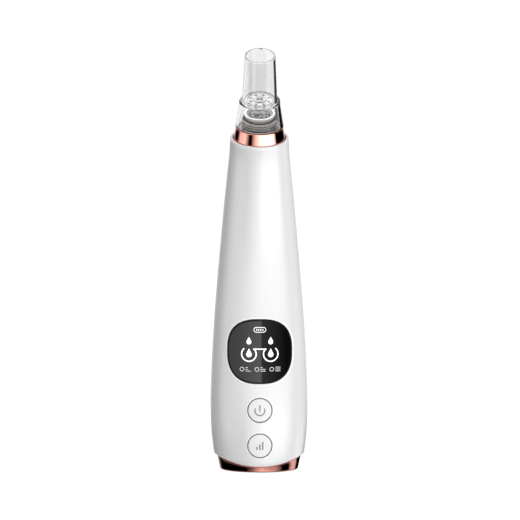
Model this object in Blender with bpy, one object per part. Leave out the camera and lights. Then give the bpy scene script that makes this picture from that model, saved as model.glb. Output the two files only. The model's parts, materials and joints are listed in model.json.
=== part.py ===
"""A handheld blackhead vacuum extractor: a bullet-shaped body whose upper half bows forward, a clear
suction tip that pulls off the neck, two buttons, a display window and a diaphragm pump inside.

All driving dimensions are in millimetres and are scaled to metres when a mesh is made. +Z is up, the
front (window and buttons) faces -Y, and the origin is the centre of the base.
"""

import math

import bmesh
import bpy
from mathutils import Matrix, Vector

MM = 0.001
GAP = 0.3  # play kept between touching pieces

# The handle's centreline: straight up, then an arc forward as far as the neck, where a short tight bend
# leans the suction tip further forward
BEND_START = 60.0
BEND_RADIUS = 306.0
HEAD_TILT = math.radians(15.0)
NECK_STATION = BEND_START + BEND_RADIUS * HEAD_TILT
TIP_TILT = math.radians(23.5)
NECK_BEND_HALF = 1.5  # the neck bends over this length on each side of the ring's top

# The housing: (distance along the centreline, outer radius)
BODY_OUTLINE = (
    (2.4, 17.8),
    (10.0, 18.95),
    (17.4, 19.7),
    (28.4, 20.0),
    (45.4, 19.5),
    (61.4, 18.6),
    (78.3, 17.35),
    (95.3, 15.9),
    (112.5, 14.4),
    (125.6, 13.15),
    (134.3, 12.35),
    (NECK_STATION, 12.1),
)
WALL = 2.0
LIP_WALL = 1.0
LIP_DEPTH = 4.5
LIP_FILLET = 0.6

# The arched seam over the base: lowest at the front and the back, highest at the sides
SEAM_LOW = 2.85
SEAM_RADIUS = 43.4
SEAM_HALF_WIDTH = 18.3
SEAM_BLEND = 24.0

# Base
TRIM_TOP_RADIUS = 17.3
TRIM_BOTTOM_RADIUS = 16.1
TRIM_FLARE_START = 1.5
TRIM_FLARE_END = 6.4
TRIM_FILLET = 1.2
TRIM_BORE = 14.2
COLLAR_RADIUS = 15.4
COLLAR_HEIGHT = 2.2
COVER_TOP = 4.0
PAD_RADIUS = 12.0
PAD_HEIGHT = 0.9
BASE_SCREW_X = 9.0

# Window and buttons
WINDOW_HEIGHT = 50.95
WINDOW_HALF = 13.35
WINDOW_POWER = 2.62  # exponent of the superellipse
WINDOW_THICKNESS = 1.0
WINDOW_HOLE_HALF = 11.6
BUTTON_RADIUS = 4.85
BUTTON_HOLE_RADIUS = 5.2
POWER_BUTTON_HEIGHT = 26.6
MODE_BUTTON_HEIGHT = 11.75
FLANGE_FRONT_Y = -15.4
FLANGE_BACK_Y = -14.6
STEM_RADIUS = 1.6
STEM_END_Y = -13.9
PLUNGER_LENGTH = 0.8

# Circuit board with its switches and the display module, facing the front
BOARD_FRONT_Y = -8.5
BOARD_THICKNESS = 1.2
BOARD_HALF_WIDTH = 11.0
BOARD_BOTTOM = 8.7
BOARD_TOP = 62.0
SWITCH_SIDE = 6.0
SWITCH_DEPTH = 3.5
BOARD_SCREWS = ((-8.8, 34.0), (8.8, 34.0))
DISPLAY_HALF_HEIGHT = 10.6
DISPLAY_RADIUS = 14.6  # its face curves with the window and is cut flat in front
DISPLAY_FRONT_Y = -12.8

# Battery cell, standing behind the frame's backbone
BATTERY_RADIUS = 8.8
BATTERY_Y = 5.6
BATTERY_BOTTOM = 21.0
BATTERY_TOP = 57.0

# Charging inlet
SOCKET_HEIGHT = 13.5
SOCKET_HALF_WIDTH = 4.5
SOCKET_HALF_THICKNESS = 1.6
SOCKET_FRONT_Y = 10.4
SOCKET_MOUTH_Y = 18.2

# Pump module: its own axis starts under the motor and leans with the centreline
PUMP_STATION = 67.0
PUMP_TILT_STATION = 86.0
MOTOR_RADIUS = 8.0
MOTOR_BOTTOM = 0.5
MOTOR_TOP = 18.6
MOTOR_WALL = 0.7
PUMP_RADIUS = 10.5
PUMP_BOTTOM = 19.0
DIAPHRAGM_BOTTOM = 29.3
VALVE_BOTTOM = 30.6
PUMP_COVER_BOTTOM = 32.7
PUMP_BARB_TOP = 41.5
POCKET_RADIUS = 11.0

# Neck, measured up the tilted axis from the top of the housing
RING_BOTTOM_RADIUS = 10.7
RING_TOP_RADIUS = 9.8
RING_HEIGHT = 4.8
RING_BORE = 8.8
RING_SLEEVE = 3.6
SPIGOT_RADIUS = 5.9
SPIGOT_TOP = 11.7
SPIGOT_BORE = 4.2
BARB_RADIUS = 1.4
BARB_BOTTOM = -9.0

# Suction tip, measured up its own axis from the middle of the ring's top
CUP_BOTTOM_RADIUS = 10.15
CUP_SHOULDER_RADIUS = 8.45
CUP_HEIGHT = 12.2
CUP_WALL = 1.15
NOZZLE_BOTTOM_RADIUS = 7.35
NOZZLE_TOP_RADIUS = 6.45
NOZZLE_WALL = 0.9
TIP_HEIGHT = 33.8
FLOOR_TOP = 12.8
FLOOR_THICKNESS = 1.0
CENTRE_HOLE_RADIUS = 1.5
RING_HOLE_RADIUS = 0.65
RING_HOLE_CIRCLE = 4.0
RING_HOLE_COUNT = 8

LEAD_RADIUS = 0.5
LEAD_CORE = 0.15


# ---------------------------------------------------------------- materials


def material(name, colour, roughness, metallic=0.0, transmission=0.0):
    made = bpy.data.materials.new(name)
    made.use_nodes = True
    shader = made.node_tree.nodes["Principled BSDF"]
    shader.inputs["Base Color"].default_value = (*colour, 1.0)
    shader.inputs["Roughness"].default_value = roughness
    shader.inputs["Metallic"].default_value = metallic
    shader.inputs["Transmission Weight"].default_value = transmission
    return made


# ---------------------------------------------------------------- geometry helpers


def centreline(station):
    """Point on the handle's centreline and its lean forward, at a distance along it from the base."""
    if station <= BEND_START:
        return Vector((0.0, 0.0, station)), 0.0
    lean = min((station - BEND_START) / BEND_RADIUS, HEAD_TILT)
    past_bend = station - BEND_START - BEND_RADIUS * lean
    y = -BEND_RADIUS * (1.0 - math.cos(lean)) - past_bend * math.sin(lean)
    z = BEND_START + BEND_RADIUS * math.sin(lean) + past_bend * math.cos(lean)
    return Vector((0.0, y, z)), lean


def frame_at(point, lean):
    """Placement with its origin at point and its Z axis leaning forward by lean."""
    return Matrix.Translation(point * MM) @ Matrix.Rotation(lean, 4, "X")


def neck_frame(height):
    """Placement at a height up the neck's axis, which bends from the housing's lean to the tip's."""
    start = RING_HEIGHT - NECK_BEND_HALF
    point, lean = centreline(NECK_STATION + min(height, start))
    if height <= start:
        return frame_at(point, lean)
    radius = 2.0 * NECK_BEND_HALF / (TIP_TILT - HEAD_TILT)
    turn = min((height - start) / radius, TIP_TILT - HEAD_TILT)
    offset = Vector((0.0, radius * (math.cos(turn) - 1.0), radius * math.sin(turn)))
    past_bend = Vector((0.0, 0.0, height - start - radius * turn))
    return (frame_at(point, lean) @ Matrix.Translation(offset * MM) @ Matrix.Rotation(turn, 4, "X")
            @ Matrix.Translation(past_bend * MM))


def tip_frame():
    """Placement of the suction tip, with its origin in the middle of the ring's top."""
    back_down = Matrix.Translation(Vector((0.0, 0.0, -NECK_BEND_HALF)) * MM)
    return neck_frame(RING_HEIGHT + NECK_BEND_HALF) @ back_down


def smooth_value(points, at):
    """Cubic curve through (position, value) points, with slopes from each point's neighbours."""
    last = len(points) - 1
    at = min(max(at, points[0][0]), points[last][0])
    index = next(i for i in range(last) if at <= points[i + 1][0])

    def slope(i):
        before = points[max(i - 1, 0)]
        after = points[min(i + 1, last)]
        return (after[1] - before[1]) / (after[0] - before[0])

    start, end = points[index], points[index + 1]
    span = end[0] - start[0]
    t = (at - start[0]) / span
    return (
        (2 * t**3 - 3 * t**2 + 1) * start[1]
        + (t**3 - 2 * t**2 + t) * span * slope(index)
        + (3 * t**2 - 2 * t**3) * end[1]
        + (t**3 - t**2) * span * slope(index + 1)
    )


def body_radius(station):
    return smooth_value(BODY_OUTLINE, station)


def seam_height(x):
    """Height of the base seam at a distance x from the middle."""
    return SEAM_LOW + SEAM_RADIUS - math.sqrt(SEAM_RADIUS**2 - x**2)


def front_y(x, z):
    """Y of the housing's outer surface on the front, at a place seen from the front."""
    bow = max(z - BEND_START, 0.0) ** 2 / (2.0 * BEND_RADIUS)
    return -math.sqrt(body_radius(z) ** 2 - x**2) - bow


def solid(name, points, faces, finish, placement=None):
    """A closed mesh object from points in millimetres, with its faces turned outwards."""
    mesh = bpy.data.meshes.new(name)
    mesh.from_pydata([Vector(point) * MM for point in points], [], faces)
    work = bmesh.new()
    work.from_mesh(mesh)
    bmesh.ops.recalc_face_normals(work, faces=work.faces)
    work.to_mesh(mesh)
    work.free()
    mesh.shade_smooth()
    mesh.set_sharp_from_angle(angle=math.radians(35.0))
    mesh.materials.append(finish)
    made = bpy.data.objects.new(name, mesh)
    bpy.context.collection.objects.link(made)
    if placement is not None:
        made.matrix_world = placement
    return made


def joined_rows(rows, looped, hollow):
    """Faces that join rows of point numbers; a row with one number is a pole."""
    faces = []
    pairs = list(zip(rows, rows[1:]))
    if hollow:
        pairs.append((rows[-1], rows[0]))
    for low, high in pairs:
        count = max(len(low), len(high))
        for j in range(count if looped else count - 1):
            k = (j + 1) % count
            if len(low) == 1:
                faces.append((low[0], high[j], high[k]))
            elif len(high) == 1:
                faces.append((low[j], high[0], low[k]))
            else:
                faces.append((low[j], low[k], high[k], high[j]))
    return faces


def turned(name, profile, finish, placement=None, segments=24, frame_of=None):
    """A turned solid. profile is a list of (radius, height), or a function of the angle that gives one.
    From axis to axis it is a full body; otherwise the profile closes on itself round a bore. frame_of
    gives the placement at a height where the axis itself bends."""
    outline = profile if callable(profile) else (lambda angle: profile)
    corners = outline(0.0)
    points, rows = [], []
    for number, (radius, _) in enumerate(corners):
        steps = 1 if radius == 0.0 else segments
        row = []
        for j in range(steps):
            angle = 2.0 * math.pi * (j + 0.5) / segments
            r, z = outline(angle)[number]
            row.append(len(points))
            place = Vector((r * math.cos(angle), r * math.sin(angle), 0.0 if frame_of else z))
            points.append(frame_of(z) @ (place * MM) / MM if frame_of else place)
        rows.append(row)
    hollow = corners[0][0] > 0.0
    return solid(name, points, joined_rows(rows, True, hollow), finish, placement)


def block(name, low, high, finish, placement=None):
    """A rectangular solid between two corners."""
    points = [(x, y, z) for x in (low[0], high[0]) for y in (low[1], high[1]) for z in (low[2], high[2])]
    faces = [(0, 1, 3, 2), (4, 6, 7, 5), (0, 4, 5, 1), (2, 3, 7, 6), (0, 2, 6, 4), (1, 5, 7, 3)]
    return solid(name, points, faces, finish, placement)


def extruded(name, outline, start, end, finish, axis="Z", placement=None):
    """An outline of two coordinates pushed along the third axis from start to end."""
    place = {
        "X": lambda u, v, w: (w, u, v),
        "Y": lambda u, v, w: (u, w, v),
        "Z": lambda u, v, w: (u, v, w),
    }[axis]
    count = len(outline)
    points = [place(u, v, w) for w in (start, end) for u, v in outline]
    faces = [tuple(range(count)), tuple(range(2 * count - 1, count - 1, -1))]
    faces += [(j, (j + 1) % count, (j + 1) % count + count, j + count) for j in range(count)]
    return solid(name, points, faces, finish, placement)


def circle(radius, centre=(0.0, 0.0), segments=24):
    angles = [2.0 * math.pi * (j + 0.5) / segments for j in range(segments)]
    return [(centre[0] + radius * math.cos(a), centre[1] + radius * math.sin(a)) for a in angles]


def squircle(half, segments=40):
    """Superellipse with equal sides, the window's outline."""

    def along(value):
        return math.copysign(abs(value) ** (2.0 / WINDOW_POWER) * half, value)

    angles = [2.0 * math.pi * j / segments for j in range(segments)]
    return [(along(math.cos(a)), along(math.sin(a))) for a in angles]


def moulded_plate(name, outline, height, outer_depth, inner_depth, finish, shares=(0.35, 0.7, 1.0)):
    """A plate that follows the housing's front. outline is round (0, height), seen from the front, and
    the depths run inwards from the housing's surface."""
    points, rows = [], []
    layers = [(share, outer_depth) for share in (0.0, *shares)]
    layers += [(share, inner_depth) for share in (*reversed(shares), 0.0)]
    for share, depth in layers:
        row = []
        for u, v in outline if share else outline[:1]:
            x, z = share * u, height + share * v
            row.append(len(points))
            points.append((x, front_y(x, z) + depth, z))
        rows.append(row)
    return solid(name, points, joined_rows(rows, True, False), finish)


def tube_along(name, route, outer, bore, finish, segments=10):
    """A hose or a wire with a bore, along a route of points in a plane across X."""
    points, rows = [], []
    side = Vector((1.0, 0.0, 0.0))
    for radius in (outer, bore):
        ring_rows = []
        for number, centre in enumerate(route):
            before = Vector(route[max(number - 1, 0)])
            after = Vector(route[min(number + 1, len(route) - 1)])
            across = (after - before).normalized().cross(side)
            row = []
            for j in range(segments):
                angle = 2.0 * math.pi * j / segments
                offset = side * math.cos(angle) * radius + across * math.sin(angle) * radius
                row.append(len(points))
                points.append(Vector(centre) + offset)
            ring_rows.append(row)
        rows += ring_rows if radius == outer else ring_rows[::-1]
    return solid(name, points, joined_rows(rows, True, True), finish)


def eased_route(start, start_direction, end, end_direction, steps):
    """Points on a smooth curve between two places with given directions."""
    start, end = Vector(start), Vector(end)
    reach = (end - start).length
    first = start + Vector(start_direction).normalized() * reach / 3.0
    second = end - Vector(end_direction).normalized() * reach / 3.0
    route = []
    for step in range(steps + 1):
        t = step / steps
        route.append(
            start * (1 - t) ** 3 + first * 3 * t * (1 - t) ** 2 + second * 3 * t**2 * (1 - t) + end * t**3
        )
    return route


def boolean(target, other, operation):
    """Cuts other away from target, or joins it on, and leaves other as a hidden guide."""
    step = target.modifiers.new(operation.title() + " " + other.name, "BOOLEAN")
    step.operation = operation
    step.object = other
    other.hide_render = True
    other.display_type = "WIRE"


# ---------------------------------------------------------------- housing


def shell_rows():
    """Rows of the half shell's wall as functions of the angle: (station, outer radius, inner radius)."""
    low_steps, high_steps = 5, 15

    def low_row(share):
        def row(angle):
            start = seam_height(SEAM_HALF_WIDTH * math.cos(angle))
            station = start + (SEAM_BLEND - start) * share
            radius = body_radius(station)
            return station, radius, radius - WALL

        return row

    def row_at(station, outer, inner):
        return lambda angle: (station, outer, inner)

    rows = [low_row(step / low_steps) for step in range(low_steps + 1)]
    station = SEAM_BLEND
    length = (NECK_STATION - LIP_DEPTH - SEAM_BLEND) / high_steps
    for _ in range(high_steps):
        station += length
        radius = body_radius(station)
        rows.append(row_at(station, radius, radius - WALL))
    lip_radius = body_radius(NECK_STATION)
    lip_bore = lip_radius - LIP_WALL
    rows.append(row_at(station + GAP, body_radius(station), lip_bore))
    rows.append(row_at(NECK_STATION - LIP_FILLET, lip_radius, lip_bore))
    rows.append(row_at(NECK_STATION - 0.3 * LIP_FILLET, lip_radius - 0.25 * LIP_FILLET, lip_bore))
    rows.append(row_at(NECK_STATION, lip_radius - 0.7 * LIP_FILLET, lip_bore))
    return rows


def half_shell(name, side, finish, segments=18):
    """One half of the housing: side is -1 for the front and 1 for the rear."""
    points, rows = [], []
    for row_of in shell_rows():
        row = []
        for layer in (1, 2):
            for j in range(segments + 1):
                share = j / segments if layer == 1 else 1.0 - j / segments
                values = row_of(math.pi * share)
                radius = values[layer]
                trim = math.asin(0.5 * GAP / radius)
                angle = trim + (math.pi - 2.0 * trim) * share
                centre, lean = centreline(values[0])
                depth = Vector((0.0, math.cos(lean), math.sin(lean))) * side
                across = Vector((math.cos(angle) * radius, 0.0, 0.0))
                row.append(len(points))
                points.append(centre + across + depth * math.sin(angle) * radius)
        rows.append(row)
    faces = joined_rows(rows, True, False)
    last = 2 * segments + 1
    for row in (rows[0], rows[-1]):
        faces += [(row[j], row[j + 1], row[last - j - 1], row[last - j]) for j in range(segments)]
    return solid(name, points, faces, finish)


def cut_through_front(target, name, outline, finish):
    """Cuts an outline of (x, height) straight through the front wall of target."""
    boolean(target, extruded(name, outline, -30.0, -8.0, finish, "Y"), "DIFFERENCE")


def make_front_shell(white):
    shell = half_shell("front_shell", -1, white)
    recess = moulded_plate("cut_window_recess", squircle(WINDOW_HALF + GAP), WINDOW_HEIGHT, -4.0,
                           WINDOW_THICKNESS + GAP, white)
    boolean(shell, recess, "DIFFERENCE")
    opening = [(x, WINDOW_HEIGHT + z) for x, z in squircle(WINDOW_HOLE_HALF)]
    cut_through_front(shell, "cut_window_hole", opening, white)
    for label, height in (("power", POWER_BUTTON_HEIGHT), ("mode", MODE_BUTTON_HEIGHT)):
        outline = circle(BUTTON_HOLE_RADIUS, (0.0, height), 28)
        cut_through_front(shell, f"cut_{label}_button", outline, white)


def make_rear_shell(white):
    shell = half_shell("rear_shell", 1, white)
    half_width = SOCKET_HALF_WIDTH + 0.5
    half_height = SOCKET_HALF_THICKNESS + 0.5
    slot = []
    for centre_x, start in ((half_width - half_height, -90.0), (half_height - half_width, 90.0)):
        for step in range(7):
            angle = math.radians(start + 30.0 * step)
            x = centre_x + half_height * math.cos(angle)
            slot.append((x, SOCKET_HEIGHT + half_height * math.sin(angle)))
    boolean(shell, extruded("cut_charging_mouth", slot, 10.0, 30.0, white, "Y"), "DIFFERENCE")


# ---------------------------------------------------------------- base


def make_base(rose, grey, rubber, steel):
    def trim_profile(angle):
        top = seam_height(TRIM_TOP_RADIUS * math.cos(angle)) - GAP
        foot = GAP
        flare = (top - TRIM_FLARE_START) / (TRIM_FLARE_END - TRIM_FLARE_START)
        return [
            (TRIM_BORE, foot),
            (TRIM_BOTTOM_RADIUS - TRIM_FILLET, foot),
            (TRIM_BOTTOM_RADIUS - 0.3 * TRIM_FILLET, foot + 0.3 * TRIM_FILLET),
            (TRIM_BOTTOM_RADIUS, foot + TRIM_FILLET),
            (TRIM_BOTTOM_RADIUS + (TRIM_TOP_RADIUS - TRIM_BOTTOM_RADIUS) * flare, top),
            (COLLAR_RADIUS, top),
            (COLLAR_RADIUS, top + COLLAR_HEIGHT),
            (TRIM_BORE, top + COLLAR_HEIGHT),
        ]

    turned("base_trim", trim_profile, rose, segments=48)
    cover_radius = TRIM_BORE - GAP
    recess = PAD_HEIGHT + GAP
    cover = turned(
        "base_cover",
        [(0.0, recess), (PAD_RADIUS + GAP, recess), (PAD_RADIUS + GAP, GAP), (cover_radius, GAP),
         (cover_radius, COVER_TOP), (0.0, COVER_TOP)],
        grey, segments=32)
    turned("foot_pad", [(0.0, 0.0), (PAD_RADIUS - 0.3, 0.0), (PAD_RADIUS, 0.3), (PAD_RADIUS, PAD_HEIGHT),
                        (0.0, PAD_HEIGHT)], rubber, segments=32)
    for label, x in (("left", -BASE_SCREW_X), ("right", BASE_SCREW_X)):
        place = Matrix.Translation(Vector((x, 0.0, 0.0)) * MM)
        hole = turned(f"cut_base_screw_{label}",
                      [(0.0, 0.0), (2.3, 0.0), (2.3, 2.8), (1.15, 2.8), (1.15, 6.0), (0.0, 6.0)],
                      grey, place, 16)
        boolean(cover, hole, "DIFFERENCE")
        turned(f"base_screw_{label}",
               [(0.0, 1.9), (0.7, 1.9), (0.9, 1.4), (1.9, 1.4), (1.9, 2.5), (0.8, 2.5), (0.8, 8.2),
                (0.0, 9.0)],
               steel, place, 12)


# ---------------------------------------------------------------- window and buttons


def make_window(black, foam):
    moulded_plate("display_window", squircle(WINDOW_HALF), WINDOW_HEIGHT, 0.08, WINDOW_THICKNESS, black,
                  (0.3, 0.6, 0.85, 0.98))
    width = WINDOW_HOLE_HALF - GAP
    gasket = moulded_plate("display_gasket", squircle(width), WINDOW_HEIGHT, WINDOW_THICKNESS + GAP,
                           WINDOW_THICKNESS + GAP + 1.2, foam)
    opening = [(x, WINDOW_HEIGHT + z) for x, z in squircle(width - 1.4)]
    cut_through_front(gasket, "cut_gasket", opening, foam)


def make_button(name, height, plunger_name, white, black):
    """A cap that follows the housing, with a flange behind the wall and a stem towards its switch."""
    flange_radius = BUTTON_RADIUS + 1.1
    place = Matrix.Translation(Vector((0.0, STEM_END_Y, height)) * MM)
    points, rows = [], []
    rings = [("face", 0.0), ("face", 0.45 * BUTTON_RADIUS), ("face", BUTTON_RADIUS - 0.3)]
    rings += [("edge", BUTTON_RADIUS), (FLANGE_FRONT_Y, BUTTON_RADIUS)]
    rings += [(FLANGE_FRONT_Y, flange_radius), (FLANGE_BACK_Y, flange_radius)]
    rings += [(FLANGE_BACK_Y, STEM_RADIUS), (STEM_END_Y, STEM_RADIUS), (STEM_END_Y, 0.0)]
    for depth, radius in rings:
        row = []
        for x, z in circle(radius, segments=28) if radius else [(0.0, 0.0)]:
            y = depth
            if depth in ("face", "edge"):
                y = front_y(x, height + z) + (0.0 if depth == "face" else 0.25)
            row.append(len(points))
            points.append((x, y - STEM_END_Y, z))
        rows.append(row)
    solid(name, points, joined_rows(rows, True, False), white, place)
    front = STEM_END_Y + GAP
    extruded(plunger_name, circle(STEM_RADIUS, (0.0, height), 16), front, front + PLUNGER_LENGTH, black, "Y")


# ---------------------------------------------------------------- electronics


def make_board(green, black, white, steel, battery_blue, foam):
    board_back = BOARD_FRONT_Y + BOARD_THICKNESS
    board = block("main_board", (-BOARD_HALF_WIDTH, BOARD_FRONT_Y, BOARD_BOTTOM),
                  (BOARD_HALF_WIDTH, board_back, BOARD_TOP), green)
    quarter_turn = Matrix.Rotation(-math.pi / 2.0, 4, "X")
    for number, (x, z) in enumerate(BOARD_SCREWS, 1):
        place = Matrix.Translation(Vector((x, BOARD_FRONT_Y - GAP, z)) * MM) @ quarter_turn
        hole = extruded(f"cut_board_screw_{number}", circle(1.1, (x, z), 12), -12.0, -4.0, green, "Y")
        boolean(board, hole, "DIFFERENCE")
        turned(f"board_screw_{number}",
               [(0.0, -0.5), (0.6, -0.5), (0.8, -1.0), (1.8, -0.8), (1.8, 0.0), (0.8, 0.0), (0.8, 3.6),
                (0.0, 3.9)],
               steel, place, 12)
    for label, height in (("power", POWER_BUTTON_HEIGHT), ("mode", MODE_BUTTON_HEIGHT)):
        half = SWITCH_SIDE / 2.0
        block(f"{label}_switch", (-half, BOARD_FRONT_Y - GAP - SWITCH_DEPTH, height - half),
              (half, BOARD_FRONT_Y - GAP, height + half), black)
    arc = []
    for step in range(9):
        angle = math.radians(-128.0 + 9.5 * step)
        arc.append((DISPLAY_RADIUS * math.cos(angle), max(DISPLAY_RADIUS * math.sin(angle), DISPLAY_FRONT_Y)))
    side = arc[-1][0]
    outline = [(side, BOARD_FRONT_Y - GAP), (-side, BOARD_FRONT_Y - GAP)] + arc
    extruded("display_module", outline, WINDOW_HEIGHT - DISPLAY_HALF_HEIGHT,
             WINDOW_HEIGHT + DISPLAY_HALF_HEIGHT, white)
    turned("battery",
           [(0.0, BATTERY_BOTTOM), (BATTERY_RADIUS, BATTERY_BOTTOM), (BATTERY_RADIUS, BATTERY_TOP),
            (3.0, BATTERY_TOP), (3.0, BATTERY_TOP + 1.2), (0.0, BATTERY_TOP + 1.2)],
           battery_blue, Matrix.Translation(Vector((0.0, BATTERY_Y, 0.0)) * MM), 28)
    block("battery_pad", (-6.0, BATTERY_Y - BATTERY_RADIUS - 1.4, 27.0),
          (6.0, BATTERY_Y - BATTERY_RADIUS - GAP, 51.0), foam)


def make_charging_inlet(green, steel, black):
    board_top = SOCKET_HEIGHT - SOCKET_HALF_THICKNESS - GAP
    block("charging_board", (-7.0, 4.5, board_top - 1.0), (7.0, 15.4, board_top), green)
    half_width, half_height = SOCKET_HALF_WIDTH, SOCKET_HALF_THICKNESS

    def stadium(inset):
        outline = []
        radius = half_height - inset
        for centre_x, start in ((half_width - half_height, -90.0), (half_height - half_width, 90.0)):
            for step in range(5):
                angle = math.radians(start + 45.0 * step)
                x = centre_x + radius * math.cos(angle)
                outline.append((x, SOCKET_HEIGHT + radius * math.sin(angle)))
        return outline

    shell = extruded("charging_socket", stadium(0.0), SOCKET_FRONT_Y, SOCKET_MOUTH_Y, steel, "Y")
    inlet = extruded("cut_socket", stadium(0.35), SOCKET_FRONT_Y + 1.0, 30.0, steel, "Y")
    boolean(shell, inlet, "DIFFERENCE")
    block("charging_tongue", (-3.2, SOCKET_FRONT_Y + 1.0 + GAP, SOCKET_HEIGHT - 0.35),
          (3.2, SOCKET_MOUTH_Y - 0.8, SOCKET_HEIGHT + 0.35), black)


# ---------------------------------------------------------------- inner frame and pump


def pump_placement():
    point, _ = centreline(PUMP_STATION)
    _, lean = centreline(PUMP_TILT_STATION)
    return frame_at(point, lean)


def make_inner_frame(grey):
    """Foot, backbone behind the board, and the pocket that holds the motor, as one moulding."""
    back = BOARD_FRONT_Y + BOARD_THICKNESS + GAP
    half_width = BOARD_HALF_WIDTH - 0.8
    frame = block("inner_frame", (-half_width, back, 6.0), (half_width, back + 1.7, 64.9), grey)
    foot = turned("join_frame_foot", [(0.0, 4.4), (13.6, 4.4), (13.6, 6.4), (0.0, 6.4)], grey, segments=28)
    pocket = turned("join_motor_pocket",
                    [(0.0, -3.0), (12.2, -3.0), (12.2, 16.0), (POCKET_RADIUS, 16.0), (POCKET_RADIUS, 0.0),
                     (0.0, 0.0)],
                    grey, pump_placement(), 28)
    boolean(frame, foot, "UNION")
    boolean(frame, pocket, "UNION")
    for label, x in (("left", -BASE_SCREW_X), ("right", BASE_SCREW_X)):
        hole = extruded(f"cut_foot_{label}", circle(1.15, (x, 0.0), 12), 0.0, 12.0, grey)
        boolean(frame, hole, "DIFFERENCE")
    for number, (x, z) in enumerate(BOARD_SCREWS, 1):
        hole = extruded(f"cut_backbone_{number}", circle(1.1, (x, z), 12), -12.0, -3.0, grey, "Y")
        boolean(frame, hole, "DIFFERENCE")


def make_motor(steel, black, copper, foam, brass):
    place = pump_placement()
    bore = MOTOR_RADIUS - MOTOR_WALL
    low, high = MOTOR_BOTTOM, MOTOR_TOP
    boss = high + 1.0
    cap_outline = [(1.2, low), (bore - GAP, low), (bore - GAP, low + 1.5), (1.2, low + 1.5)]
    turned("motor_end_cap", cap_outline, black, place, 20)
    turned("motor_can",
           [(MOTOR_RADIUS, low), (MOTOR_RADIUS, high), (3.0, high), (3.0, boss), (1.3, boss),
            (1.3, high - MOTOR_WALL), (bore, high - MOTOR_WALL), (bore, low)],
           steel, place, 28)
    inside, outside = MOTOR_RADIUS + GAP, POCKET_RADIUS - GAP
    turned("motor_sleeve", [(inside, 0.6), (outside, 0.6), (outside, 15.6), (inside, 15.6)], foam, place, 24)
    turned("motor_rotor",
           [(0.0, 0.9), (0.8, 0.9), (0.8, 3.6), (6.2, 3.6), (6.2, 16.0), (0.8, 16.0), (0.8, 22.6),
            (0.0, 22.6)],
           copper, place, 20)
    wheel = turned("eccentric_wheel", [(1.1, 20.8), (4.6, 20.8), (4.6, 22.0), (3.8, 23.4), (1.1, 23.4)],
                   brass, place, 20)
    pin_hole = extruded("cut_wheel_pin", circle(0.7, (2.5, 0.0), 10), 21.6, 30.0, brass, "Z", place)
    boolean(wheel, pin_hole, "DIFFERENCE")


def make_pump(grey, white, rubber, steel):
    place = pump_placement()
    low, wall = PUMP_BOTTOM, PUMP_RADIUS - 1.1
    turned("pump_housing",
           [(3.5, low), (PUMP_RADIUS, low), (PUMP_RADIUS, low + 10.0), (wall, low + 10.0), (wall, low + 1.2),
            (3.5, low + 1.2)],
           grey, place, 28)
    middle = Matrix.Translation(Vector((0.0, 0.0, 26.4)) * MM)
    plate_tilt = middle @ Matrix.Rotation(math.radians(6.0), 4, "Y")
    turned("swash_plate",
           [(0.0, -2.4), (0.45, -2.4), (0.45, -0.6), (7.4, -0.6), (7.4, 0.6), (0.0, 0.6)],
           white, place @ plate_tilt, 18)
    low, high = DIAPHRAGM_BOTTOM, DIAPHRAGM_BOTTOM + 1.0
    disc = [(0.0, low), (PUMP_RADIUS, low), (PUMP_RADIUS, high), (0.0, high)]
    membrane = turned("diaphragm", disc, rubber, place, 28)
    cup_outline = [(0.0, low - 1.1), (2.2, low - 1.1), (2.8, low + 0.5), (0.0, low + 0.5)]
    low, high = VALVE_BOTTOM, VALVE_BOTTOM + 1.8
    disc = [(0.0, low), (PUMP_RADIUS, low), (PUMP_RADIUS, high), (0.0, high)]
    seat = turned("valve_seat", disc, grey, place, 28)
    hole_outline = [(0.0, low - 1.6), (0.8, low - 1.6), (0.8, high + 1.6), (0.0, high + 1.6)]
    for number in range(3):
        turn = Matrix.Rotation(2.0 * math.pi * number / 3.0, 4, "Z")
        where = place @ turn @ Matrix.Translation(Vector((5.4, 0.0, 0.0)) * MM)
        cup = turned(f"join_diaphragm_cup_{number + 1}", cup_outline, rubber, where, 12)
        boolean(membrane, cup, "UNION")
        hole = turned(f"cut_valve_{number + 1}", hole_outline, grey, where, 10)
        boolean(seat, hole, "DIFFERENCE")
    low, high = PUMP_COVER_BOTTOM, PUMP_BARB_TOP
    turned("pump_cover",
           [(0.7, low + 1.9), (8.6, low + 1.9), (8.6, low), (PUMP_RADIUS, low), (PUMP_RADIUS, low + 2.5),
            (9.8, low + 3.2), (2.4, low + 3.2), (1.9, low + 3.9), (BARB_RADIUS, low + 4.5),
            (BARB_RADIUS, high), (0.7, high)],
           grey, place, 28)
    inner, outer, hook = PUMP_RADIUS + GAP, PUMP_RADIUS + 1.0, 8.5
    low, high = PUMP_BOTTOM - 1.0, PUMP_COVER_BOTTOM + 4.2
    bracket = [(-hook, low), (-outer, low), (-outer, high), (outer, high), (outer, low), (hook, low),
               (hook, low + 0.7), (inner, low + 0.7), (inner, high - 0.7), (-inner, high - 0.7),
               (-inner, low + 0.7), (-hook, low + 0.7)]
    clip = extruded("pump_clip", bracket, -3.0, 3.0, steel, "Y", place)
    hole = turned("cut_clip", [(0.0, 30.0), (2.7, 30.0), (2.7, 44.0), (0.0, 44.0)], steel, place, 16)
    boolean(clip, hole, "DIFFERENCE")


# ---------------------------------------------------------------- neck and suction tip


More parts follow.
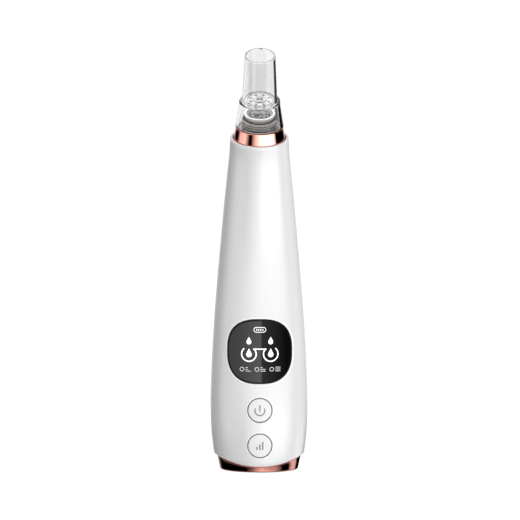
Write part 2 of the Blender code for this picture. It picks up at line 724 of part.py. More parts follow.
def make_neck(rose, white, seal_grey, foam, hose_clear):
    place = neck_frame(0.0)
    turned("neck_ring",
           [(RING_BOTTOM_RADIUS - 0.2, -RING_SLEEVE), (RING_BOTTOM_RADIUS, -RING_SLEEVE + 0.2),
            (RING_BOTTOM_RADIUS, 0.0), (RING_TOP_RADIUS + 0.1, RING_HEIGHT - 0.5),
            (RING_TOP_RADIUS - 0.3, RING_HEIGHT), (RING_BORE, RING_HEIGHT), (RING_BORE, -RING_SLEEVE)],
           rose, place, 48)
    flange, rim = RING_BORE - GAP, SPIGOT_RADIUS + 0.3
    turned("tip_spigot",
           [(SPIGOT_BORE, 3.6), (SPIGOT_BORE, RING_HEIGHT), (SPIGOT_BORE, SPIGOT_TOP),
            (SPIGOT_RADIUS, SPIGOT_TOP), (rim, SPIGOT_TOP - 0.3), (rim, SPIGOT_TOP - 1.2),
            (SPIGOT_RADIUS, SPIGOT_TOP - 1.5), (SPIGOT_RADIUS, RING_HEIGHT), (SPIGOT_RADIUS, 1.8), (flange, 1.8), (flange, 0.2), (7.0, 0.2),
            (7.0, -2.6), (BARB_RADIUS + 1.0, -3.6), (BARB_RADIUS, -4.4), (BARB_RADIUS, BARB_BOTTOM),
            (0.8, BARB_BOTTOM), (0.8, 1.2)],
           white, segments=32, frame_of=neck_frame)
    turned("spigot_nut", [(7.3, -0.1), (7.3, -2.4), (flange, -2.4), (flange, -0.1)], white, place, 24)
    base, inner = RING_HEIGHT, SPIGOT_RADIUS + GAP
    turned("tip_seal",
           [(inner, base - 2.7), (flange, base - 2.7), (flange, base + 0.1), (flange - 0.3, base + 0.5),
            (7.3, base + 0.8), (6.9, base + 1.3), (7.2, base + 1.8), (7.2, base + 2.3), (6.8, base + 2.8),
            (7.0, base + 3.3), (7.0, base + 4.1), (inner, base + 4.6), (inner, base)],
           seal_grey, segments=32, frame_of=neck_frame)
    sponge_radius = SPIGOT_BORE - GAP
    turned("filter_sponge",
           [(0.0, SPIGOT_TOP - 3.6), (sponge_radius, SPIGOT_TOP - 3.6), (sponge_radius, SPIGOT_TOP - 0.9),
            (sponge_radius - 0.4, SPIGOT_TOP - 0.5), (0.0, SPIGOT_TOP - 0.5)],
           foam, segments=24, frame_of=neck_frame)
    pump = pump_placement()
    head_up = place.to_3x3() @ Vector((0.0, 0.0, 1.0))
    pump_up = pump.to_3x3() @ Vector((0.0, 0.0, 1.0))
    start = (pump @ Vector((0.0, 0.0, (PUMP_COVER_BOTTOM + 4.9) * MM))) / MM
    end = (place @ Vector((0.0, 0.0, -4.8 * MM))) / MM
    tube_along("suction_hose", eased_route(start, pump_up, end, head_up, 9), BARB_RADIUS + 1.3,
               BARB_RADIUS + GAP, hose_clear)


def make_suction_tip(clear):
    """The clear tip: a cup whose lower edge follows the ring's top, a perforated floor and the nozzle."""
    place = tip_frame()
    floor_bottom = FLOOR_TOP - FLOOR_THICKNESS
    bottom_bore = NOZZLE_BOTTOM_RADIUS - NOZZLE_WALL
    top_bore = NOZZLE_TOP_RADIUS - NOZZLE_WALL
    taper = (CUP_BOTTOM_RADIUS - CUP_SHOULDER_RADIUS) / CUP_HEIGHT
    lean = math.tan(TIP_TILT - HEAD_TILT)

    def tip_profile(angle):
        outer_low = GAP - lean * CUP_BOTTOM_RADIUS * math.sin(angle)
        inner_low = GAP - lean * (CUP_BOTTOM_RADIUS - CUP_WALL) * math.sin(angle)
        return [
            (0.0, floor_bottom), (CUP_SHOULDER_RADIUS - CUP_WALL, floor_bottom),
            (CUP_BOTTOM_RADIUS - CUP_WALL - taper * inner_low, inner_low),
            (CUP_BOTTOM_RADIUS - taper * outer_low, outer_low), (CUP_SHOULDER_RADIUS, CUP_HEIGHT - 0.5),
            (CUP_SHOULDER_RADIUS - 0.3, CUP_HEIGHT), (NOZZLE_BOTTOM_RADIUS + 0.2, CUP_HEIGHT + 0.2),
            (NOZZLE_BOTTOM_RADIUS, CUP_HEIGHT + 0.7), (NOZZLE_TOP_RADIUS, TIP_HEIGHT - 0.25),
            (NOZZLE_TOP_RADIUS - 0.25, TIP_HEIGHT), (top_bore + 0.2, TIP_HEIGHT),
            (top_bore, TIP_HEIGHT - 0.25),
            (bottom_bore, FLOOR_TOP + 0.4), (bottom_bore - 0.4, FLOOR_TOP), (0.0, FLOOR_TOP),
        ]

    tip = turned("suction_tip", tip_profile, clear, place, 36)
    holes = [(CENTRE_HOLE_RADIUS, (0.0, 0.0))]
    for number in range(RING_HOLE_COUNT):
        angle = 2.0 * math.pi * number / RING_HOLE_COUNT
        centre = (RING_HOLE_CIRCLE * math.cos(angle), RING_HOLE_CIRCLE * math.sin(angle))
        holes.append((RING_HOLE_RADIUS, centre))
    for number, (radius, centre) in enumerate(holes):
        hole = extruded(f"cut_floor_{number}", circle(radius, centre, 16 if number == 0 else 8),
                        floor_bottom - 1.0, FLOOR_TOP + 1.0, clear, "Z", place)
        boolean(tip, hole, "DIFFERENCE")


# ---------------------------------------------------------------- wiring


def make_leads(red, black):
    """Battery and charging leads, short wires that the frame holds along their whole route."""
    from_battery = (0.0, BATTERY_Y, BATTERY_TOP + 2.0)
    to_frame = (0.0, -4.8, 61.5)
    route = eased_route(from_battery, (0.0, -0.3, 0.5), to_frame, (0.0, -1.0, 0.1), 7)
    tube_along("battery_lead", route, LEAD_RADIUS, LEAD_CORE, red, 8)
    from_inlet = (5.0, 4.0, SOCKET_HEIGHT - 2.5)
    to_board = (5.0, -4.8, SOCKET_HEIGHT - 1.5)
    route = eased_route(from_inlet, (0.0, -1.0, 0.1), to_board, (0.0, -1.0, 0.0), 6)
    tube_along("charging_lead", route, LEAD_RADIUS, LEAD_CORE, black, 8)


def main():
    for old in list(bpy.data.objects):
        bpy.data.objects.remove(old)

    white = material("satin white plastic", (0.86, 0.86, 0.87), 0.35)
    rose = material("rose gold plating", (0.86, 0.52, 0.42), 0.12, 1.0)
    clear = material("clear plastic", (0.95, 0.96, 0.97), 0.03, 0.0, 0.9)
    black_gloss = material("black gloss", (0.01, 0.01, 0.012), 0.06)
    grey = material("grey plastic", (0.45, 0.46, 0.48), 0.5)
    black = material("black plastic", (0.03, 0.03, 0.03), 0.45)
    rubber = material("rubber", (0.06, 0.06, 0.065), 0.8)
    seal_grey = material("silicone seal", (0.5, 0.5, 0.5), 0.5)
    foam = material("foam", (0.8, 0.8, 0.78), 0.95)
    steel = material("steel", (0.62, 0.62, 0.63), 0.3, 1.0)
    brass = material("brass", (0.78, 0.6, 0.3), 0.3, 1.0)
    copper = material("copper winding", (0.72, 0.4, 0.22), 0.4, 1.0)
    green = material("board green", (0.03, 0.2, 0.1), 0.4)
    blue = material("battery sleeve", (0.05, 0.2, 0.55), 0.35)
    hose = material("silicone hose", (0.85, 0.86, 0.85), 0.4)
    red = material("red insulation", (0.6, 0.05, 0.04), 0.45)

    make_front_shell(white)
    make_rear_shell(white)
    make_base(rose, grey, rubber, steel)
    make_window(black_gloss, foam)
    make_button("power_button", POWER_BUTTON_HEIGHT, "power_plunger", white, black)
    make_button("mode_button", MODE_BUTTON_HEIGHT, "mode_plunger", white, black)
    make_board(green, black, white, steel, blue, foam)
    make_charging_inlet(green, steel, black)
    make_inner_frame(grey)
    make_motor(steel, black, copper, foam, brass)
    make_pump(grey, white, rubber, steel)
    make_neck(rose, white, seal_grey, foam, hose)
    make_suction_tip(clear)
    make_leads(red, black)


main()
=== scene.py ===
"""Looks of a handheld blackhead vacuum extractor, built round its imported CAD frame."""

import json
import math

import bmesh
import bpy
from mathutils import Matrix, Vector


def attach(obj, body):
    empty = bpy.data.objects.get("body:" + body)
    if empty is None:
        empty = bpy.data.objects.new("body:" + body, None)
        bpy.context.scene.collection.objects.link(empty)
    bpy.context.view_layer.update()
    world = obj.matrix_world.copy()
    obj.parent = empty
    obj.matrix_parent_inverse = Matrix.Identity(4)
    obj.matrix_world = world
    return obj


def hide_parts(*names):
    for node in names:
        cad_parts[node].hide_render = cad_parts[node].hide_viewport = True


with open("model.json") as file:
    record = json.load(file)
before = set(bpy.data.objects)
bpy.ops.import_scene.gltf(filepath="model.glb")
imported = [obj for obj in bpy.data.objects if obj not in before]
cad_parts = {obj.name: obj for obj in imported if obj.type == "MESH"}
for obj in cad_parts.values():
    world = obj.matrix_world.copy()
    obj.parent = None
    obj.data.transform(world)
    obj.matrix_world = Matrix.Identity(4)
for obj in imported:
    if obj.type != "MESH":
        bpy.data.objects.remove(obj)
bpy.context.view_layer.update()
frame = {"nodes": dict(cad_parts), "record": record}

MM = 0.001

# ---- driving dimensions, in millimetres
# They repeat the CAD model's, so that each finer piece lies where its node does. Heights on the housing
# are measured from its base, and places on the neck and the tip from the start of each.

GAP = 0.3
SIDE_SEAM_GAP = 0.1  # between the two halves of the housing
BEND_START = 60.0
BEND_RADIUS = 306.0
HEAD_TILT = math.radians(15.0)
NECK_STATION = BEND_START + BEND_RADIUS * HEAD_TILT
TIP_TILT = math.radians(23.5)
NECK_BEND_HALF = 1.5
BODY_OUTLINE = (
    (2.4, 17.8), (10.0, 18.95), (17.4, 19.7), (28.4, 20.0), (45.4, 19.5), (61.4, 18.6), (78.3, 17.35),
    (95.3, 15.9), (112.5, 14.4), (125.6, 13.15), (134.3, 12.35), (NECK_STATION, 12.1),
)
WALL = 2.0
LIP_WALL = 1.0
LIP_DEPTH = 4.5
LIP_FILLET = 0.6

SEAM_LOW = 2.85
SEAM_RADIUS = 43.4
SEAM_HALF_WIDTH = 18.3
SEAM_BLEND = 24.0
SEAM_FILLET = 0.35

TRIM_TOP_RADIUS = 17.3
TRIM_BOTTOM_RADIUS = 16.1
TRIM_FLARE_START = 1.5
TRIM_FLARE_END = 6.4
TRIM_FILLET = 0.7
TRIM_BORE = 14.2
COLLAR_RADIUS = 15.4
COLLAR_HEIGHT = 2.2

WINDOW_HEIGHT = 50.95
WINDOW_HALF = 13.35
WINDOW_POWER = 2.62
WINDOW_THICKNESS = 1.0
WINDOW_HOLE_HALF = 11.6
WINDOW_CENTRE = (0.0, WINDOW_HEIGHT)
GLASS_DEPTH = 0.06  # of the glass under the housing's surface
BEZEL_WIDTH = 0.8
BEZEL_RISE = 0.16
BUTTON_RADIUS = 4.85
BUTTON_HOLE_RADIUS = 5.27
BUTTON_RIM_WIDTH = 0.5
BUTTON_RIM_RISE = 0.06
CAP_FILLET = 0.4
POWER_BUTTON_HEIGHT = 26.6
MODE_BUTTON_HEIGHT = 11.75
FLANGE_RADIUS = BUTTON_RADIUS + 1.1
STEM_RADIUS = 1.6
FLANGE_FRONT = -15.4
FLANGE_BACK = -14.6
STEM_END = -13.9

SOCKET_HEIGHT = 13.5
SOCKET_HALF_WIDTH = 4.5
SOCKET_HALF_THICKNESS = 1.6

RING_BOTTOM_RADIUS = 10.7
RING_TOP_RADIUS = 9.8
RING_HEIGHT = 4.8
RING_BORE = 8.8
RING_SLEEVE = 3.6
SPIGOT_RADIUS = 5.9
SPIGOT_TOP = 11.7
SPIGOT_BORE = 4.2
BARB_RADIUS = 1.4
BARB_BOTTOM = -9.0
BARB_BORE = 0.8
SPONGE_TOP = SPIGOT_TOP - 0.5
SPONGE_BOTTOM = SPIGOT_TOP - 3.6
RIB_COUNT = 4
RIB_PITCH = 1.1
RIB_ROOT = 6.5
RIB_CREST = 7.4

CUP_BOTTOM_RADIUS = 10.15
CUP_SHOULDER_RADIUS = 8.45
CUP_HEIGHT = 12.2
CUP_WALL = 1.15
NOZZLE_BOTTOM_RADIUS = 7.35
NOZZLE_TOP_RADIUS = 6.45
NOZZLE_WALL = 0.9
TIP_HEIGHT = 33.8
FLOOR_TOP = 12.8
FLOOR_THICKNESS = 1.0
# Two low raised rings on the tip's floor: (radius, rise)
FLOOR_RELIEF = (
    (5.7, 0.0), (5.6, 0.45), (5.2, 0.45), (5.1, 0.0), (2.9, 0.0), (2.7, 0.6), (2.0, 0.6), (1.9, 0.3),
    (0.0, 0.3),
)
CENTRE_HOLE_RADIUS = 1.5
RING_HOLE_RADIUS = 0.65
RING_HOLE_CIRCLE = 4.0
RING_HOLE_COUNT = 8

# Painted reflections across the clear wall, two soft grey bands of painted shade: (place from left to right,
# level)
CLEAR_PAINTED_BANDS = (
    (-11.0, 1.0), (-5.2, 1.0), (-5.0, 0.75), (-3.5, 0.75), (-3.0, 0.9), (-2.2, 0.9), (-1.8, 0.8), (2.6, 0.8),
    (3.0, 0.97), (11.0, 0.97),
)


# ---- node helpers

WHITE_GLOW = (1.0, 1.0, 1.0, 1.0)
PLASTIC_INDEX = 1.47


def grey(level):
    return (level, level, level)


class Tree:
    """Short calls for the nodes of one node tree."""

    def __init__(self, tree):
        self.tree = tree

    def join(self, source, socket):
        self.tree.links.new(source, socket)

    def node(self, kind, **values):
        """A new node with its inputs set; a name has _ for each space of the input's label."""
        made = self.tree.nodes.new(f"ShaderNode{kind}")
        for label, value in values.items():
            made.inputs[label.replace("_", " ")].default_value = value
        return made

    def split(self, vector):
        node = self.node("SeparateXYZ")
        self.join(vector, node.inputs["Vector"])
        return [node.outputs[axis] for axis in "XYZ"]

    def math(self, operation, a, b=None, clamp=False):
        node = self.node("Math")
        node.operation = operation
        node.use_clamp = clamp
        for socket, value in zip(node.inputs, (a, b)):
            if isinstance(value, (int, float)):
                socket.default_value = value
            elif value is not None:
                self.join(value, socket)
        return node.outputs["Value"]

    def levels(self, share, stops, low, high, top=1.0):
        """A grey level that follows stops of (place, level) as share goes from 0 at low to 1 at high. Levels
        are held as parts of top."""
        node = self.node("ValToRGB")
        elements = node.color_ramp.elements
        for _ in stops[2:]:
            elements.new(0.5)
        for element, (place, level) in zip(elements, stops):
            element.position = (place - low) / (high - low)
            element.color = (*grey(level / top), 1.0)
        self.join(share, node.inputs["Fac"])
        return node.outputs["Color"]


class Nodes(Tree):
    """A material's node tree, with the nodes that the materials share."""

    def __init__(self, name):
        self.material = bpy.data.materials.new(name)
        self.material.use_nodes = True
        super().__init__(self.material.node_tree)
        self.shader = self.tree.nodes["Principled BSDF"]
        self.where = self.node("TexCoord").outputs["Object"]

    def set(self, **values):
        for label, value in values.items():
            self.shader.inputs[label.replace("_", " ")].default_value = value

    def link(self, source, label):
        self.join(source, self.shader.inputs[label])

    def noise(self, scale, detail=2.0, stretch=None):
        node = self.node("TexNoise", Scale=scale, Detail=detail)
        source = self.where
        if stretch is not None:
            mapping = self.node("Mapping", Scale=stretch)
            self.join(self.where, mapping.inputs["Vector"])
            source = mapping.outputs["Vector"]
        self.join(source, node.inputs["Vector"])
        return node.outputs["Fac"]

    def map_range(self, source, **limits):
        node = self.node("MapRange", **limits)
        self.join(source, node.inputs["Value"])
        return node.outputs["Result"]

    def spread(self, source, low, high):
        """The middle of a noise, from 0.3 to 0.7, spread over the range from low to high."""
        return self.map_range(source, From_Min=0.3, From_Max=0.7, To_Min=low, To_Max=high)

    def step(self, source, start, end):
        """0 where source is at start or short of it, and 1 from end on."""
        return self.map_range(source, From_Min=start, From_Max=end)

    def mix(self, share, a, b):
        """a where share is 0 and b where it is 1, each a colour or the output of a node."""
        node = self.node("Mix")
        node.data_type = "RGBA"
        for label, colour in (("A", a), ("B", b)):
            if isinstance(colour, tuple):
                node.inputs[label].default_value = (*colour, 1.0)
            else:
                self.join(colour, node.inputs[label])
        self.join(share, node.inputs["Factor"])
        return node.outputs["Result"]

    def bump(self, source, strength, distance):
        node = self.node("Bump", Strength=strength, Distance=distance)
        self.join(source, node.inputs["Height"])
        self.link(node.outputs["Normal"], "Normal")


def moulded(name, colour, other, roughness, grain=2600.0, relief=0.00002, strength=0.25, **values):
    """Moulded plastic or rubber: a fine grain in relief, with slow changes of tone and of gloss."""
    made = Nodes(name)
    made.set(**values)
    made.link(made.mix(made.spread(made.noise(45.0), 0.0, 1.0), colour, other), "Base Color")
    made.link(made.spread(made.noise(160.0, 4.0), roughness[0], roughness[1]), "Roughness")
    made.bump(made.noise(grain, 3.0), strength, relief)
    return made.material


def metal(name, colour, other, roughness, stretch=(1.0, 1.0, 14.0), grain=900.0, strength=0.12, **values):
    """Polished or drawn metal: fine lines along one direction and a little wear in the gloss."""
    made = Nodes(name)
    made.set(Metallic=1.0, **values)
    made.link(made.mix(made.spread(made.noise(120.0), 0.0, 1.0), colour, other), "Base Color")
    made.link(made.spread(made.noise(grain, 3.0, stretch), roughness[0], roughness[1]), "Roughness")
    made.bump(made.noise(grain, 2.0, stretch), strength, 0.000004)
    return made.material


def clear_plastic(name, tint, painted_studio_bands=False, **values):
    """Clear plastic with a faint tint. Its flag after the tint paints in what a curved wall shows of the
    studio: soft grey bands of painted shade across it, and a narrow dark band of painted shade near the
    outline on the +X side."""
    made = Nodes(name)
    made.set(Transmission_Weight=1.0, IOR=PLASTIC_INDEX, Base_Color=(*tint, 1.0), **values)
    made.link(made.spread(made.noise(300.0, 3.0), 0.0, 0.03), "Roughness")
    made.bump(made.noise(220.0, 1.0), 0.05, 0.00002)
    if painted_studio_bands:
        # Painted reflections of the studio: a narrow dark band near the outline on the +X side and soft grey
        # bands across the wall, both painted shade
        facing = made.node("LayerWeight").outputs["Facing"]
        x = made.split(made.where)[0]
        near_outline = made.math("MULTIPLY", made.step(facing, 0.5, 0.52), made.step(facing, 0.8, 0.77))
        dark = made.math("MULTIPLY", near_outline, made.step(x, 1.0 * MM, 2.0 * MM))
        left, right = CLEAR_PAINTED_BANDS[0][0], CLEAR_PAINTED_BANDS[-1][0]
        bands = made.levels(made.step(x, left * MM, right * MM), CLEAR_PAINTED_BANDS, left, right)
        made.link(made.mix(dark, bands, grey(0.008)), "Base Color")
        made.link(made.math("SUBTRACT", 1.0, dark), "Transmission Weight")
    return made.material


def clear_rim(name):
    """Clear plastic at the nozzle's rim: light with a faint painted glow, and a few short dark dashes of
    painted shade where it turns the light.
    """
    made = Nodes(name)
    made.set(Transmission_Weight=0.55, IOR=PLASTIC_INDEX, Emission_Color=WHITE_GLOW, Emission_Strength=0.12)
    dashes = made.step(made.noise(330.0, 0.0), 0.58, 0.64)
    made.link(made.mix(dashes, grey(0.97), grey(0.12)), "Base Color")
    made.link(made.spread(made.noise(300.0, 3.0), 0.02, 0.08), "Roughness")
    return made.material


def clear_edge(name):
    """Clear plastic at the cup's lower edge, with painted shade: near black where it is seen edge-on."""
    made = Nodes(name)
    made.set(IOR=PLASTIC_INDEX, Transmission_Weight=0.5)
    facing = made.node("LayerWeight").outputs["Facing"]
    made.link(made.mix(made.step(facing, 0.3, 0.5), grey(0.9), grey(0.006)), "Base Color")
    made.link(made.spread(made.noise(300.0, 3.0), 0.02, 0.08), "Roughness")
    return made.material


def pored_foam(name):
    """Pale open foam: light cell walls with darker pores between them, the pores' darkness painted shade, and
    a faint painted glow over all.
    """
    made = Nodes(name)
    made.set(Emission_Color=WHITE_GLOW, Emission_Strength=0.06)
    cells = made.noise(620.0, 1.0)
    made.link(made.mix(made.step(cells, 0.4, 0.56), grey(0.16), grey(0.93)), "Base Color")
    made.link(made.spread(made.noise(900.0), 0.8, 1.0), "Roughness")
    made.bump(cells, 0.9, 0.0004)
    return made.material


def lit(name, colour, other, strength):
    """A light symbol: its glow varies a little, as through a printed mask."""
    made = Nodes(name)
    made.set(Base_Color=(*grey(0.8), 1.0), Emission_Strength=strength)
    made.link(made.mix(made.spread(made.noise(1500.0), 0.0, 1.0), colour, other), "Emission Color")
    made.link(made.spread(made.noise(600.0), 0.35, 0.5), "Roughness")
    return made.material


# ---- geometry helpers


def centreline(station):
    """Point on the handle's centreline and its lean forward, at a distance along it from the base."""
    if station <= BEND_START:
        return Vector((0.0, 0.0, station)), 0.0
    lean = min((station - BEND_START) / BEND_RADIUS, HEAD_TILT)
    past_bend = station - BEND_START - BEND_RADIUS * lean
    y = -BEND_RADIUS * (1.0 - math.cos(lean)) - past_bend * math.sin(lean)
    z = BEND_START + BEND_RADIUS * math.sin(lean) + past_bend * math.cos(lean)
    return Vector((0.0, y, z)), lean


def neck_frame(height):
    """Placement at a height up the neck's axis, which bends from the housing's lean to the tip's."""
    start = RING_HEIGHT - NECK_BEND_HALF
    point, lean = centreline(NECK_STATION + min(height, start))
    if height <= start:
        return Matrix.Translation(point) @ Matrix.Rotation(lean, 4, "X")
    radius = 2.0 * NECK_BEND_HALF / (TIP_TILT - HEAD_TILT)
    turn = min((height - start) / radius, TIP_TILT - HEAD_TILT)
    offset = (0.0, radius * (math.cos(turn) - 1.0), radius * math.sin(turn))
    past_bend = (0.0, 0.0, height - start - radius * turn)
    return (Matrix.Translation(point) @ Matrix.Rotation(lean, 4, "X") @ Matrix.Translation(offset)
            @ Matrix.Rotation(turn, 4, "X") @ Matrix.Translation(past_bend))


def tip_frame():
    """Placement of the suction tip, with its origin in the middle of the ring's top."""
    return neck_frame(RING_HEIGHT + NECK_BEND_HALF) @ Matrix.Translation((0.0, 0.0, -NECK_BEND_HALF))


def smooth_value(points, at):
    """Cubic curve through (position, value) points, with slopes from each point's neighbours."""
    last = len(points) - 1
    at = min(max(at, points[0][0]), points[last][0])
    index = next(i for i in range(last) if at <= points[i + 1][0])

    def slope(i):
        before = points[max(i - 1, 0)]
        after = points[min(i + 1, last)]
        return (after[1] - before[1]) / (after[0] - before[0])

    start, end = points[index], points[index + 1]
    span = end[0] - start[0]
    t = (at - start[0]) / span
    return (
        (2 * t**3 - 3 * t**2 + 1) * start[1]
        + (t**3 - 2 * t**2 + t) * span * slope(index)
        + (3 * t**2 - 2 * t**3) * end[1]
        + (t**3 - t**2) * span * slope(index + 1)
    )


def body_radius(station):
    return smooth_value(BODY_OUTLINE, station)


def seam_height(x):
    return SEAM_LOW + SEAM_RADIUS - math.sqrt(SEAM_RADIUS**2 - x**2)


def front_y(x, z):
    """Y of the housing's outer surface on the front, at a place seen from the front."""
    bow = max(z - BEND_START, 0.0) ** 2 / (2.0 * BEND_RADIUS)
    return -math.sqrt(body_radius(z) ** 2 - x**2) - bow


def add_object(name, data):
    made = bpy.data.objects.new(name, data)
    bpy.context.collection.objects.link(made)
    return made


def solid(name, points, faces, finish, placement=None, sharp=40.0):
    """A mesh object from points in millimetres, in the row frame, with its faces turned outwards."""
    mesh = bpy.data.meshes.new(name)
    if placement is not None:
        points = [placement @ Vector(point) for point in points]
    mesh.from_pydata([Vector(point) * MM for point in points], [], faces)
    work = bmesh.new()
    work.from_mesh(mesh)
    bmesh.ops.recalc_face_normals(work, faces=work.faces)
    work.to_mesh(mesh)
    work.free()
    mesh.shade_smooth()
    mesh.set_sharp_from_angle(angle=math.radians(sharp))
    mesh.materials.append(finish)
    return add_object(name, mesh)


def joined_rows(rows, hollow=False):
    """Faces round and between rows of point numbers; a row with one number is a pole."""
    faces = []
    pairs = list(zip(rows, rows[1:]))
    if hollow:
        pairs.append((rows[-1], rows[0]))
    for low, high in pairs:
        count = max(len(low), len(high))
        for j in range(count):
            k = (j + 1) % count
            if len(low) == 1:
                faces.append((low[0], high[j], high[k]))
            elif len(high) == 1:
                faces.append((low[j], high[0], low[k]))
            else:
                faces.append((low[j], low[k], high[k], high[j]))
    return faces


def lofted(name, rows, finish, hollow=False, placement=None):
    """A closed solid through rows of points, with a hole through it if the rows themselves form a ring."""
    points, numbers = [], []
    for row in rows:
        numbers.append(range(len(points), len(points) + len(row)))
        points += row
    return solid(name, points, joined_rows(numbers, hollow), finish, placement)


def rounded(profile, radius, steps=4):
    """A profile with each corner cut to an arc of about the given radius, as far as its sides allow. A
    point just before and after each arc keeps the straight sides straight under smooth shading."""
    out = []
    count = len(profile)
    for number, corner in enumerate(profile):
        here = Vector(corner)
        before, after = Vector(profile[number - 1]), Vector(profile[(number + 1) % count])
        if corner[0] == 0.0:
            out.append(tuple(here))
            continue
        back = (before - here).normalized()
        ahead = (after - here).normalized()
        reach = min(radius, 0.45 * (before - here).length, 0.45 * (after - here).length)
        start, end = here + back * reach, here + ahead * reach
        out.append(tuple(here + back * min(1.4 * reach, 0.48 * (before - here).length)))
        for step in range(steps + 1):
            t = step / steps
            out.append(tuple(start * (1 - t) ** 2 + here * 2 * t * (1 - t) + end * t**2))
        out.append(tuple(here + ahead * min(1.4 * reach, 0.48 * (after - here).length)))
    return out


def turned(name, profile, finish, placement=None, segments=128, frame_of=None):
    """A turned solid. profile is a list of (radius, height), or a function of the angle that gives one.
    frame_of gives the placement at a height where the axis itself bends."""
    outline = profile if callable(profile) else (lambda angle: profile)
    at_angle = [outline(2.0 * math.pi * (j + 0.5) / segments) for j in range(segments)]
    rows = []
    for number, (radius, _) in enumerate(at_angle[0]):
        row = []
        for j in range(1 if radius == 0.0 else segments):
            angle = 2.0 * math.pi * (j + 0.5) / segments
            r, z = at_angle[j][number]
            place = Vector((r * math.cos(angle), r * math.sin(angle), 0.0 if frame_of else z))
            row.append(frame_of(z) @ place if frame_of else place)
        rows.append(row)
    return lofted(name, rows, finish, at_angle[0][0][0] > 0.0, placement)


def extruded(name, outline, start, end, finish, axis="Z", placement=None):
    """An outline of two coordinates pushed along the third axis from start to end."""
    place = {"Y": lambda u, v, w: (u, w, v), "Z": lambda u, v, w: (u, v, w)}[axis]
    count = len(outline)
    points = [place(u, v, w) for w in (start, end) for u, v in outline]
    faces = [tuple(range(count)), tuple(range(2 * count - 1, count - 1, -1))]
    faces += [(j, (j + 1) % count, (j + 1) % count + count, j + count) for j in range(count)]
    return solid(name, points, faces, finish, placement)


def circle(radius, centre=(0.0, 0.0), segments=64):
    angles = [2.0 * math.pi * (j + 0.5) / segments for j in range(segments)]
    return [(centre[0] + radius * math.cos(a), centre[1] + radius * math.sin(a)) for a in angles]


def fillet(radius, steps):
    """A quarter round as pairs: how far it is from the side's plane and from the face's."""
    angles = [math.pi / 2.0 * step / steps for step in range(steps + 1)]
    return [(radius * (1.0 - math.sin(a)), radius * (1.0 - math.cos(a))) for a in angles]


def squircle(half, segments=144):
    def bulge(value):
        return math.copysign(abs(value) ** (2.0 / WINDOW_POWER) * half, value)

    return [(bulge(u), bulge(v)) for u, v in circle(1.0, segments=segments)]


def plate_on_front(name, layers, centre, finish):
    """A closed plate that follows the housing's front. Each layer is (outline round the centre or None
    for the centre itself, depth inwards from the housing's surface)."""
    rows = []
    for outline, depth in layers:
        places = [(centre[0] + u, centre[1] + v) for u, v in outline or [(0.0, 0.0)]]
        rows.append([(x, front_y(x, z) + depth, z) for x, z in places])
    return lofted(name, rows, finish, layers[0][0] is not None)


def scaled(outline, share):
    return [(u * share, v * share) for u, v in outline]


def cut(target, *others):
    """Cuts the other solids out of target and keeps only the result."""
    for other in others:
        step = target.modifiers.new("Cut", "BOOLEAN")
        step.operation = "DIFFERENCE"
        step.object = other
    graph = bpy.context.evaluated_depsgraph_get()
    result = bpy.data.meshes.new_from_object(target.evaluated_get(graph))
    target.modifiers.clear()
    target.data = result
    for other in others:
        bpy.data.objects.remove(other)
    work = bmesh.new()
    work.from_mesh(result)
    bmesh.ops.dissolve_degenerate(work, dist=1e-7, edges=work.edges)
    work.to_mesh(result)
    work.free()
    result.shade_smooth()
    result.set_sharp_from_angle(angle=math.radians(30.0))


def place_piece(piece, body, slot, *nodes):
    """Settles a piece: the body that it rides on and the CAD nodes that it stands for. The slot is not used.
    """
    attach(piece, body)
    if nodes:
        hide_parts(*nodes)


# ---- housing


def shell_rows():
    """Rows of the wall as functions of the angle: (station, outer radius, inner radius)."""
    low_rows, high_rows = 12, 64

    def low_row(share, inset=0.0):
        def row(angle):
            start = seam_height(SEAM_HALF_WIDTH * math.cos(angle))
            station = start + (SEAM_BLEND - start) * share
            radius = body_radius(station)
            return station, radius - inset, body_radius(start) - WALL if share < 0.05 else radius - WALL

        return row

    def row_at(station, outer, inner):
        return lambda angle: (station, outer, inner)

    rows = [low_row(0.0, SEAM_FILLET), low_row(0.005, 0.4 * SEAM_FILLET), low_row(0.016)]
    rows += [low_row(share / low_rows) for share in range(1, low_rows + 1)]
    station = SEAM_BLEND
    step = (NECK_STATION - LIP_DEPTH - SEAM_BLEND) / high_rows
    for _ in range(high_rows):
        station += step
        radius = body_radius(station)
        rows.append(row_at(station, radius, radius - WALL))
    lip_radius = body_radius(NECK_STATION)
    lip_bore = lip_radius - LIP_WALL
    for share in (0.05, 0.3, 0.6, 0.86):
        at = station + LIP_DEPTH * share
        rows.append(row_at(at, body_radius(at), lip_bore))
    for step in range(1, 7):
        angle = math.pi / 2.0 * step / 6.0
        at = NECK_STATION - LIP_FILLET + LIP_FILLET * math.sin(angle)
        rows.append(row_at(at, lip_radius - LIP_FILLET * (1.0 - math.cos(angle)), lip_bore))
    return rows


def half_shell(name, side, finish):
    """One half of the housing: side is -1 for the front and 1 for the rear."""
    segments = 72
    points, rows = [], []
    for row_of in shell_rows():
        for layer in (1, 2):
            for j in range(segments + 1):
                share = j / segments if layer == 1 else 1.0 - j / segments
                values = row_of(math.pi * share)
                radius = values[layer]
                trim = math.asin(0.5 * SIDE_SEAM_GAP / radius)
                angle = trim + (math.pi - 2.0 * trim) * share
                centre, lean = centreline(values[0])
                depth = Vector((0.0, math.cos(lean), math.sin(lean))) * side
                out = Vector((math.cos(angle) * radius, 0.0, 0.0)) + depth * math.sin(angle) * radius
                points.append(centre + out)
        rows.append(range(len(points) - 2 * (segments + 1), len(points)))
    faces = joined_rows(rows)
    last = 2 * segments + 1
    for row in (rows[0], rows[-1]):
        faces += [(row[j], row[j + 1], row[last - j - 1], row[last - j]) for j in range(segments)]
    return solid(name, points, faces, finish, sharp=30.0)


def stadium(half_width, half_height):
    end = half_width - half_height
    return arc((end, 0.0), half_height, -90, 90, 12) + arc((-end, 0.0), half_height, 90, 270, 12)


